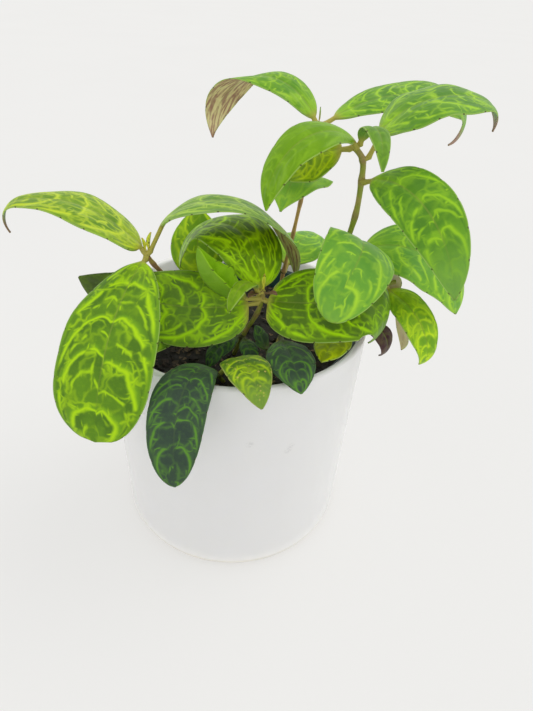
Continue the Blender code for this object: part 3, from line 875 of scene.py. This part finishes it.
def make_stem(key, skin):
    """A stem with swollen nodes and a faint ring of scar at each."""
    points, radius = STEMS[key]
    route = smooth_route(points, ROUTE_STEPS)
    foot = route[0] - np.array([0.0, 0.0, STEM_DEPTH])
    collar = route[0] + np.array([0.0, 0.0, STEM_COLLAR])
    route = [foot, collar] + route[1:]
    radii, scars = [], []
    for index in range(len(route)):
        step = max(index - 1, 0)
        nearest = round(step / ROUTE_STEPS) * ROUTE_STEPS
        swell = math.exp(-((step - nearest) / NODE_REACH) ** 2) if nearest > 0 else 0.0
        ending = min(1.0, 0.5 + (len(route) - 1 - index) / 4.0)
        radii.append(radius * (1.0 + (NODE_SWELL - 1.0) * swell) * ending ** 0.5)
        scars.append(math.exp(-((step - nearest) / SCAR_REACH) ** 2) if nearest > 0 else 0.0)
    mesh = tube("stem_skin_" + key, route, radii, scars)
    return add_piece("stem_skin_" + key, mesh, [skin], "stem_green", "stem_" + key)


def make_stems():
    skins = {}
    for key in STEMS:
        look = STEM_SKINS.get(key, OLIVE_SKIN)
        if look not in skins:
            skins[look] = stem_finish(*look)
        make_stem(key, skins[look])


# Leaves

# What a leaf has unless its row says otherwise. hook and hook_from curl the tip, fold and
# arch shape the section, and base_form and tip_form set where the blade is widest.
LEAF_FORM = dict(bow=1.0, hook=0.0, hook_from=0.75, sweep=0.0, tilt=0.0, twist=0.0, lift=0.0,
                 fold=0.12, arch=0.2, base_form=0.6, tip_form=0.8, stalk=PETIOLE_RADIUS)
SPROUT = dict(LEAF_FORM, stalk=0.35, fold=0.8, arch=0.0)


def leaf(name, node, look, length, width, petiole, heading, rise, bend, form=LEAF_FORM, **own):
    """A leaf's row. The second word of its name is its stem, and node is where it sits on
    it. heading, rise and bend say where the petiole points and how far the blade droops."""
    return SimpleNamespace(name=name, stem=name.split("_")[1], node=node, look=look,
                           length=length, width=width, petiole=petiole, heading=heading,
                           rise=rise, bend=bend, **{**form, **own})


LEAVES = [
    # Stem a, at the left
    leaf("leaf_a_left", 4, "arched", 70, 28, 2, 186, 57, 92, hook=85, tilt=-3, tip_form=1.45),
    leaf("leaf_a_hanging", 4, "bright", 81, 38.5, 3, -98, 0, 75, shift=0.25, base_form=0.65,
         tip_form=0.4),
    leaf("leaf_a_over", 4, "arched_red", 84, 26, 13, 0, 64, 151, bow=0.75, sweep=32, tilt=-5),
    leaf("leaf_a_low", 1, "dusk", 42, 20, 4, -100, 5, 5),
    # Stem b, in the middle
    leaf("leaf_b_dome", 3, "dome", 72, 35, 3, 108, 80, 172, sweep=88),
    leaf("leaf_b_level", 3, "dusk_tipped", 74, 35, 4, 185, -12, -35, sweep=-12, tilt=-38,
         lift=-2.5, base_form=0.4),
    leaf("leaf_b_right", 3, "dusk_low", 66, 34, 1, -22, 13, 10, hook=150, hook_from=0.58,
         sweep=34, tilt=36, lift=-0.5, base_form=0.35, tip_form=0.65),
    leaf("leaf_b_young", 3, "young", 36, 11, 6, 194, 0, -105, tilt=-18, fold=1.9, arch=0.0),
    leaf("leaf_b_newest", 4, "newest", 25, 7, 4, 240, 62, 140),
    # Stem c, the tall one at the right
    leaf("leaf_c_top_left", 6, "plain", 52, 18, 3, 206, 50, 145, bow=0.75, tilt=-16),
    leaf("leaf_c_top_small", 6, "small_plain", 33, 8, 2, -78, 62, 140),
    leaf("leaf_c_top_back", 6, "lime", 30, 22, 3, 165, -12, 25, tilt=-45),
    leaf("leaf_c_upper_right", 5, "hooked", 55, 31, 9, 5, 70, 102, bow=0.7, hook=70, tilt=8,
         tip_form=1.0),
    leaf("leaf_c_broad", 4, "broad", 66, 21.5, 5, -62, 24, 92, tilt=38),
    leaf("leaf_c_front", 2, "fresh", 64, 29, 3, -61, 65, 145, sweep=-86, tilt=-22, base_form=0.52,
         tip_form=0.5),
    leaf("leaf_c_low_right", 2, "fresh", 57, 31, 8, -12, 31, 112, sweep=-16, tilt=22, lift=1),
    leaf("leaf_c_pale", 2, "pale", 31, 16, 4, 13, -6, 55, hook=40, tilt=-38, lift=-2),
    # Stem d, the thin tall one behind
    leaf("leaf_d_curled", 6, "curled", 71, 18, 2, 155, 58, 152, tilt=-28, twist=135),
    leaf("leaf_d_top_right", 6, "hooked", 88, 21, 5, 20, 29, 70, hook=125, sweep=10, tilt=10,
         twist=60, tip_form=0.95),
    leaf("leaf_d_small", 4, "soft", 32, 29, 2, -110, 30, 85, base_form=0.35, tip_form=1.05),
    leaf("leaf_d_round", 1, "fresh", 36, 28, 4, 68, 32, 50),
    leaf("leaf_d_edge", 1, "deep", 16, 7, 3, 200, 80, 15),
    # Stem e, behind at the right
    leaf("leaf_e_hanging", 4, "lively", 43, 16, 2, -49, 5, 95, hook=40, tilt=20, base_form=0.5),
    leaf("leaf_e_under", 4, "blush", 38, 18, 3, 15, -48, 40),
    # Short stems near the soil, and small low leaves
    leaf("leaf_f_rim", 1, "deep", 65, 22.5, 6, 242, 54, 137, bow=0.8, sweep=43, arch=0.12,
         tip_form=0.6),
    leaf("leaf_f_small", 2, "speckled", 38, 19, 2, -66, 54, 105),
    leaf("leaf_g_dark", 2, "deep", 31, 20, 2, -74, 15, 45),
    leaf("leaf_h_rim", 2, "olive", 26, 16, 8, -112, 5, 15),
    leaf("leaf_h_hook", 2, "purple", 30, 12, 3, -44, 26, 35, hook=135, hook_from=0.36,
         base_form=0.5),
    leaf("leaf_i_upright", 2, "lively", 34, 27, 3, 95, 65, -5),
    leaf("leaf_b_low_left", 1, "deep", 22, 11, 2, 225, 15, 90),
    leaf("leaf_b_low_front", 1, "deep", 18, 8, 2, -70, 20, 80),
    leaf("leaf_g_low", 1, "deep", 12, 9, 2, 150, 60, 10),
    # Growth tips and bracts at the nodes, which stand for no solid of their own
    leaf("sprout_a_tall", 4, "sprout", 7, 2.0, 1, 40, 82, 10, SPROUT),
    leaf("sprout_a_short", 4, "sprout", 4.5, 1.6, 1, 150, 70, -10, SPROUT),
    leaf("sprout_d_left", 6, "small_plain", 5, 0.5, 1, 60, 80, -25, SPROUT, stalk=0.2),
    leaf("sprout_b_left", 4, "bract", 6, 3.0, 1, -130, 20, 30, SPROUT, fold=0.5),
    leaf("sprout_b_right", 4, "bract", 5, 2.6, 1, -40, 30, 30, SPROUT, fold=0.5),
    leaf("sprout_b_tip", 4, "sprout", 5, 1.6, 1, 80, 80, 0, SPROUT),
]


def unit(vector):
    return vector / np.linalg.norm(vector)


def clamp(share):
    return min(max(share, 0.0), 1.0)


def rib_frames(leaf, start):
    """Shares of the length, points, and sideways and upward directions along the petiole and
    the midrib, as the solids have them."""
    stations = np.linspace(-leaf.petiole / leaf.length, 1.0, RIB_STEPS + 1)
    share = np.clip(stations, 0.0, 1.0)
    curl = np.clip((share - leaf.hook_from) / (1.0 - leaf.hook_from), 0.0, 1.0)
    elevation = np.radians(leaf.rise - leaf.bend * share ** leaf.bow - leaf.hook * curl)
    course = np.radians(leaf.heading + leaf.sweep * share)
    roll = np.radians(leaf.tilt + leaf.twist * share ** 2)[:, None]
    flat = np.stack([np.cos(course), np.sin(course), np.zeros_like(course)], -1)
    upright = np.array([0.0, 0.0, 1.0])
    along = np.cos(elevation)[:, None] * flat + np.sin(elevation)[:, None] * upright
    above = -np.sin(elevation)[:, None] * flat + np.cos(elevation)[:, None] * upright
    right = np.cross(along, above)
    face = np.cos(roll) * above + np.sin(roll) * right
    side = np.cos(roll) * right - np.sin(roll) * above
    step = leaf.length * (stations[1] - stations[0])
    middle = 0.5 * (along[1:] + along[:-1])
    place = np.vstack([np.zeros(3), np.cumsum(middle * step, axis=0)]) + start
    return stations, place, side, face


def half_width(share, width, base_form, tip_form):
    share = clamp(share)
    widest = base_form / (base_form + tip_form)
    peak = widest ** base_form * (1 - widest) ** tip_form
    return 0.5 * width * share ** base_form * (1 - share) ** tip_form / peak


def leaf_seed(number):
    """A number from 0 to 1 that sets a leaf's marbling and glands apart from the others'."""
    return (number * 0.37) % 1.0


def leaf_section(share, across, leaf, number):
    """Sideways place, height and half thickness of the points across one section, and the
    half width of the section, in millimetres. The margin is nicked at each gland."""
    stalk = leaf.stalk * (1.0 - RIB_TAPER * clamp(share))
    blade = half_width(share, leaf.width, leaf.base_form, leaf.tip_form)
    beside = (share * leaf.length / GLAND_SPACING + leaf_seed(number)) % 1.0 - 0.5
    nick = GLAND_NICK * math.exp(-(beside * GLAND_SPACING / GLAND_WIDTH) ** 2) * min(1.0, blade / 6.0)
    half = math.hypot(blade, stalk) - nick
    seat = clamp(share / SEAT_FRACTION)
    seat = seat * seat * (3.0 - 2.0 * seat)
    reach = np.abs(across)
    height = blade * (leaf.fold * reach - leaf.arch * reach ** 2)
    phase = 2 * math.pi * MARGIN_WAVES * share + MARGIN_LAG * np.tanh(4.0 * across)
    height += blade * MARGIN_WAVE * reach ** 2 * np.sin(phase)
    groove = seat * GROOVE_DEPTH * np.exp(-(half * across / GROOVE_WIDTH) ** 2)
    groove *= 1.0 - 0.7 * max(share, 0.0)
    thin = BLADE_THICKNESS * (0.85 - MARGIN_THINNING * reach ** 3)
    thickness = 2 * stalk * (1 - seat) + thin * seat
    roundness = PETIOLE_ROUNDNESS * (1 - seat)
    depth = 0.5 * thickness * np.sqrt(1 - roundness * reach ** 2)
    return half * across, height, depth, groove, half


def seat_on_stem(leaf, direction):
    points, radius = STEMS[leaf.stem]
    node = leaf.node
    here = np.array(points[node], float)
    before = np.array(points[node - 1], float)
    after = np.array(points[min(node + 1, len(points) - 1)], float)
    axis = unit(after - before)
    outward = unit(direction - axis * (direction @ axis))
    lean = abs(direction @ axis)
    return here + outward * (radius * NODE_SWELL + GAP + PETIOLE_RADIUS * lean)


def make_leaf(leaf, number, finishes):
    """One leaf as a thin closed sheet: the upper face takes the first finish and the
    underside the second. The petiole's root runs on to the middle of its stem."""
    course, climb = math.radians(leaf.heading), math.radians(leaf.rise)
    direction = np.array([math.cos(course) * math.cos(climb), math.sin(course) * math.cos(climb),
                          math.sin(climb)])
    start = seat_on_stem(leaf, direction) + np.array([0.0, 0.0, leaf.lift])
    node_centre = np.array(STEMS[leaf.stem][0][leaf.node], float)
    rib, *lines = rib_frames(leaf, start)
    root = -leaf.petiole / leaf.length
    blade_shares = np.linspace(0.0, 1.0, BLADE_ROWS + 1)
    blade_shares = blade_shares - 0.03 * np.sin(2 * np.pi * blade_shares) / (2 * np.pi)
    shares = [*np.linspace(root, 0.0, PETIOLE_ROWS, endpoint=False), *blade_shares]
    stations = [(root, step / ROOT_ROWS) for step in range(ROOT_ROWS)]
    stations += [(share, 1.0) for share in shares]
    spread = np.linspace(-1.0, 1.0, BLADE_COLUMNS + 1)
    across = spread * (1.15 - 0.15 * spread ** 2)
    upper, lower, marks = [], [], []
    for share, reached in stations:
        here, out, up = (np.array([np.interp(share, rib, line[:, k]) for k in range(3)])
                         for line in lines)
        here = node_centre + (here - node_centre) * reached
        out, up = unit(out), unit(up)
        sideways, height, depth, groove, half = leaf_section(share, across, leaf, number)
        flare = 1.0 + ROOT_FLARE * math.exp(-(share * leaf.length + leaf.petiole) / ROOT_REACH)
        surface = here + (flare * sideways)[:, None] * out + height[:, None] * up
        upper.append(surface + (flare * depth - groove)[:, None] * up)
        lower.append(surface - (flare * depth + groove * 0.9)[:, None] * up)
        marks.append([(share * leaf.length, x, share, half - abs(x)) for x in sideways])
    mesh = leaf_mesh(leaf, upper, lower, marks, number)
    nodes = [leaf.name] if leaf.name.startswith("leaf_") else []
    return add_piece(leaf.name.replace("leaf_", "blade_"), mesh, finishes,
                     LEAF_SLOTS.get(leaf.look, "leaf_marbled"), *nodes)


def leaf_mesh(leaf, upper, lower, marks, number):
    """Joins the two faces at the margins and the ends, and stores where each point lies on
    the leaf for the materials to read."""
    rows, columns = len(upper), len(upper[0])
    points = [tuple(point * MM) for row in upper + lower for point in row]
    count = rows * columns
    faces, slots = [], []
    for row in range(rows - 1):
        for column in range(columns - 1):
            a = row * columns + column
            b, c, d = a + 1, a + columns + 1, a + columns
            faces += [(a, b, c, d), (a + count, d + count, c + count, b + count)]
            slots += [0, 1]
        for a, flip in ((row * columns, False), (row * columns + columns - 1, True)):
            side = (a, a + columns, a + columns + count, a + count)
            faces.append(side[::-1] if flip else side)
            slots.append(0)
    for row, flip in ((0, False), (rows - 1, True)):
        for column in range(columns - 1):
            a = row * columns + column
            end = (a, a + 1, a + 1 + count, a + count)
            faces.append(end[::-1] if flip else end)
            slots.append(0)
    mesh = bpy.data.meshes.new(leaf.name)
    mesh.from_pydata(points, [], faces)
    mesh.update()
    mesh.polygons.foreach_set("material_index", slots)
    seed = leaf_seed(number)
    table = np.array([mark for row in marks for mark in row] * 2, np.float32)
    blade = np.column_stack([table[:, 0], table[:, 1], np.full(len(table), seed)])
    size = np.full(len(table), leaf.width / FULL_WIDTH)
    shift = np.full(len(table), getattr(leaf, "shift", 3.1 * seed + 0.35))
    for label, kind, values in (("blade", "FLOAT_VECTOR", blade.ravel()),
                                ("share", "FLOAT", table[:, 2]), ("edge", "FLOAT", table[:, 3]),
                                ("size", "FLOAT", size), ("shift", "FLOAT", shift)):
        store = mesh.attributes.new(label, kind, "POINT")
        store.data.foreach_set("vector" if kind == "FLOAT_VECTOR" else "value",
                               np.ascontiguousarray(values, np.float32))
    return smoothed(mesh)


# The leaves' colours. ground is near the lines, shade the middle of the patches between them,
# and net the lines. under, mottle and under_net are the same on the underside.
# A look may also lay pale streaks of painted sheen, reflected sky, over its face.
BASE_LOOK = dict(spacing=17.5, legs=27.0, contrast=0.95, brown_from=0.965, ribs=0.45,
    ribs_end=0.3, pale_base=0.5, bloom=0.0, pleats=0.35, streaky=0.0, under_streaky=0.0,
    breadth=1.0, twigs=0.8, fade_from=1.2, faded=(0.26, 0.46, 0.14), freckles=0.0,
    ground=(0.2, 0.43, 0.012), shade=(0.085, 0.2, 0.012), net=(0.46, 0.76, 0.006),
    rib=(0.25, 0.33, 0.05), margin=(0.43, 0.6, 0.15), petiole=(0.47, 0.42, 0.09),
    tip=(0.11, 0.06, 0.03), under=(0.13, 0.3, 0.045), mottle=(0.09, 0.23, 0.04),
    under_net=(0.23, 0.43, 0.06))


def look(ground, shade, net, **own):
    return dict(BASE_LOOK, ground=ground, shade=shade, net=net, **own)


RIBBED = dict(ribs=0.8, ribs_end=0.4, pale_base=0.2)
DUSK = look((0.2, 0.41, 0.012), (0.105, 0.215, 0.022), (0.46, 0.82, 0.004), **RIBBED)
LOOKS = {
    "bright": BASE_LOOK,
    "lively": look((0.32, 0.6, 0.02), (0.17, 0.38, 0.018), (0.58, 0.82, 0.02)),
    "fresh": look((0.23, 0.5, 0.04), (0.135, 0.37, 0.04), (0.45, 0.76, 0.04), contrast=0.85,
        breadth=0.9, twigs=0.55, fade_from=0.8),
    "broad": look((0.16, 0.39, 0.018), (0.088, 0.25, 0.018), (0.36, 0.67, 0.02), contrast=0.85,
        breadth=0.95, twigs=0.6, fade_from=0.62),
    "dusk": DUSK,
    "dusk_low": look((0.17, 0.35, 0.006), (0.075, 0.16, 0.012), (0.43, 0.79, 0.002),
        fade_from=0.58, faded=(0.12, 0.29, 0.035), **RIBBED),
    # b_level's tip hangs in shadow behind the hanging leaf: its last fifth is painted dark olive, a
    # painted shade rather than a dried tip
    "dusk_tipped": dict(DUSK, brown_from=0.8, tip=(0.085, 0.12, 0.036)),
    # d_small: a lighter copy of fresh, its shade colour raised as painted light against the shadow of
    # the leaves above it
    "soft": look((0.27, 0.535, 0.048), (0.215, 0.48, 0.048), (0.42, 0.7, 0.045), contrast=0.6,
        breadth=0.9),
    "dome": look((0.19, 0.41, 0.004), (0.095, 0.21, 0.003), (0.48, 0.82, 0.004), ribs=1.0,
        ribs_end=0.75, pleats=0.7),
    "arched": look((0.34, 0.54, 0.03), (0.125, 0.27, 0.016), (0.6, 0.74, 0.04), contrast=0.9,
        bloom=0.12, pleats=0.8, ribs=0.6, streaky=0.6, ribs_end=0.9, brown_from=0.86,
        tip=(0.3, 0.15, 0.11)),
    "arched_red": look((0.235, 0.43, 0.055), (0.125, 0.29, 0.035), (0.47, 0.69, 0.09),
        contrast=0.9, bloom=0.15, pleats=0.9, streaky=0.5, under_streaky=0.95, ribs=0.8,
        ribs_end=1.6, fade_from=0.75, under=(0.56, 0.6, 0.17), mottle=(0.23, 0.055, 0.055),
        under_net=(0.56, 0.48, 0.16)),
    "hooked": look((0.19, 0.43, 0.025), (0.095, 0.27, 0.02), (0.42, 0.72, 0.03), contrast=0.85,
        bloom=0.12, pleats=0.7, streaky=0.4, breadth=0.85, fade_from=0.62, brown_from=0.86,
        tip=(0.4, 0.22, 0.19)),
    "lime": look((0.26, 0.44, 0.008), (0.11, 0.235, 0.008), (0.54, 0.72, 0.008), spacing=10.0,
        legs=18.0, breadth=0.85),
    "speckled": look((0.16, 0.3, 0.018), (0.072, 0.165, 0.018), (0.44, 0.64, 0.012), spacing=9.0,
        legs=16.0, breadth=0.9, twigs=0.6, fade_from=0.6, faded=(0.25, 0.39, 0.09), freckles=0.8,
        margin=(0.48, 0.52, 0.14)),
    "small_plain": look((0.16, 0.34, 0.03), (0.12, 0.27, 0.025), (0.23, 0.46, 0.03), contrast=0.4,
        ribs=0.2, brown_from=1.2),
    "plain": look((0.2, 0.405, 0.008), (0.15, 0.335, 0.006), (0.29, 0.56, 0.02), contrast=0.4,
        ribs=0.2, bloom=0.1, brown_from=1.2),
    # b_young: its own pale yellow-green, made lighter still as painted light that lifts the shadow
    # the dome leaf casts on it
    "young": look((0.31, 0.6, 0.006), (0.26, 0.53, 0.006), (0.36, 0.68, 0.01), contrast=0.25,
        ribs=0.1, brown_from=0.97, margin=(0.32, 0.6, 0.015), pale_base=0.2,
        under=(0.22, 0.43, 0.022), mottle=(0.19, 0.39, 0.022)),
    "newest": look((0.18, 0.35, 0.006), (0.15, 0.3, 0.006), (0.34, 0.56, 0.02), contrast=0.3,
        ribs=0.1, brown_from=1.2, pale_base=0.9),
    # Dark blue-green low leaves; their ground and shade are greyed and lightened by a painted
    # reflection of the sky
    "deep": look((0.055, 0.105, 0.05), (0.038, 0.066, 0.045), (0.125, 0.32, 0.03), spacing=12.5,
        legs=22.0, contrast=0.9, breadth=0.72, twigs=0.5, margin=(0.09, 0.2, 0.05),
        rib=(0.08, 0.13, 0.05), petiole=(0.12, 0.13, 0.05), pale_base=0.15, brown_from=0.985,
        under=(0.08, 0.12, 0.065), mottle=(0.07, 0.07, 0.045)),
    "olive": look((0.43, 0.58, 0.006), (0.31, 0.43, 0.006), (0.66, 0.82, 0.004),
        petiole=(0.43, 0.24, 0.11)),
    "purple": look((0.11, 0.045, 0.05), (0.06, 0.024, 0.032), (0.15, 0.17, 0.045), contrast=0.4,
        margin=(0.11, 0.07, 0.05), pale_base=0.0, under=(0.12, 0.045, 0.055),
        mottle=(0.06, 0.022, 0.032), under_net=(0.15, 0.16, 0.04), petiole=(0.11, 0.08, 0.04),
        brown_from=1.2),
    # c_pale: pale grey-green with a light brown tip; its tip and underside are lightened further,
    # painted light against the shade of the leaves above it
    "pale": look((0.52, 0.6, 0.32), (0.42, 0.52, 0.25), (0.6, 0.64, 0.36), contrast=0.5,
        brown_from=0.84, tip=(0.7, 0.54, 0.36), under=(0.8, 0.76, 0.52), mottle=(0.7, 0.62, 0.42),
        under_net=(0.78, 0.74, 0.5)),
    # d_curled: its underside is pale tan with purple-brown streaks, and that pale colour is raised
    # further as painted light shining through the leaf
    "curled": look((0.2, 0.43, 0.025), (0.105, 0.3, 0.02), (0.43, 0.72, 0.04), bloom=0.08,
        pleats=0.8, under=(0.8, 0.7, 0.36), mottle=(0.34, 0.15, 0.13),
        under_net=(0.84, 0.82, 0.42), contrast=0.7, brown_from=0.92, under_streaky=0.85,
        tip=(0.3, 0.12, 0.08)),
    "blush": look((0.33, 0.33, 0.13), (0.28, 0.23, 0.11), (0.4, 0.4, 0.16), contrast=0.4,
        under=(0.52, 0.5, 0.2), mottle=(0.38, 0.3, 0.15), under_net=(0.43, 0.38, 0.21)),
    "sprout": look((0.85, 0.86, 0.06), (0.78, 0.82, 0.06), (0.82, 0.84, 0.08), contrast=0.2,
        ribs=0.0, pale_base=0.0, brown_from=0.85, tip=(0.62, 0.48, 0.08),
        petiole=(0.72, 0.7, 0.07), under=(0.78, 0.8, 0.06), mottle=(0.72, 0.74, 0.06)),
    "bract": look((0.28, 0.14, 0.1), (0.21, 0.09, 0.07), (0.32, 0.21, 0.12), contrast=0.3,
        ribs=0.0, pale_base=0.0, margin=(0.26, 0.16, 0.1), petiole=(0.22, 0.14, 0.07),
        under=(0.26, 0.15, 0.1), mottle=(0.2, 0.1, 0.07)),
}
LEAF_SLOTS = dict.fromkeys(("plain", "small_plain", "young", "newest", "sprout", "bract"),
                           "leaf_young")
LEAF_SLOTS.update(deep="leaf_dark", purple="leaf_dark")


def make_leaves():
    finishes = {}
    net_masks = marbling()
    for key, values in LOOKS.items():
        values = SimpleNamespace(**values)
        finishes[key] = [blade_finish("leaf_%s_upper" % key, values, net_masks),
                         blade_finish("leaf_%s_under" % key, values, net_masks, under=True)]
    for number, row in enumerate(LEAVES):
        make_leaf(row, number, finishes[row.look])


# Studio

def make_camera():
    """The photograph's viewpoint, found from the pot's outline: pitch below the horizon, and
    roll about the line of sight."""
    pitch, roll = math.radians(CAMERA_PITCH), math.radians(CAMERA_ROLL)
    forward = Vector((0.0, math.cos(pitch), -math.sin(pitch)))
    level = Vector((1.0, 0.0, 0.0))
    upright = level.cross(forward)
    right = math.cos(roll) * level + math.sin(roll) * upright
    top = -math.sin(roll) * level + math.cos(roll) * upright
    turn = Matrix((right, top, -forward)).transposed()
    data = bpy.data.cameras.new("camera")
    data.sensor_width = SENSOR_HEIGHT
    data.lens = FOCAL_PIXELS * SENSOR_HEIGHT / FRAME_HEIGHT
    data.clip_start = 0.01
    data.clip_end = CLIP_END
    camera = placed("camera", data)
    camera.matrix_world = Matrix.Translation(Vector(CAMERA_PLACE) * MM) @ turn.to_4x4()
    bpy.context.scene.camera = camera


def make_floor():
    paint = Finish("pale_floor")
    place = paint.object_place()
    cloud = paint.noise(place, 260.0, detail=2.0)
    colour = paint.blend(cloud, (0.35, 0.348, 0.342), (0.37, 0.368, 0.362))
    floor_paint = paint.surface(Base_Color=colour, Roughness=0.8, Specular_IOR_Level=0.0,
                                Emission_Color=FLOOR_LIGHT, Emission_Strength=FLOOR_GLOW)
    mesh = bpy.data.meshes.new("floor")
    reach = FLOOR_REACH
    mesh.from_pydata([(-reach, -reach, 0), (reach, -reach, 0), (reach, reach, 0),
                      (-reach, reach, 0)], [], [(0, 1, 2, 3)])
    mesh.materials.append(floor_paint)
    placed("floor", mesh)


def make_studio():
    """A bright, nearly shadowless studio: an even sky, and a broad, far light from above and
    from the right."""
    bpy.context.scene.view_settings.view_transform = "Standard"
    world = bpy.data.worlds.new("studio")
    world.use_nodes = True
    sky = world.node_tree.nodes["Background"]
    sky.inputs["Color"].default_value = SKY_COLOUR
    sky.inputs["Strength"].default_value = SKY_STRENGTH
    bpy.context.scene.world = world
    window = bpy.data.lights.new("window", "SUN")
    window.energy = WINDOW_STRENGTH
    window.angle = math.radians(WINDOW_SPREAD)
    window.color = WINDOW_COLOUR
    placed("window", window).rotation_euler = (
        Vector(WINDOW_COURSE).to_track_quat("-Z", "Y").to_euler())


make_camera()
make_floor()
make_studio()
make_glazed_pot()
make_nursery_pot()
make_bark(make_soil())
make_stems()
make_leaves()
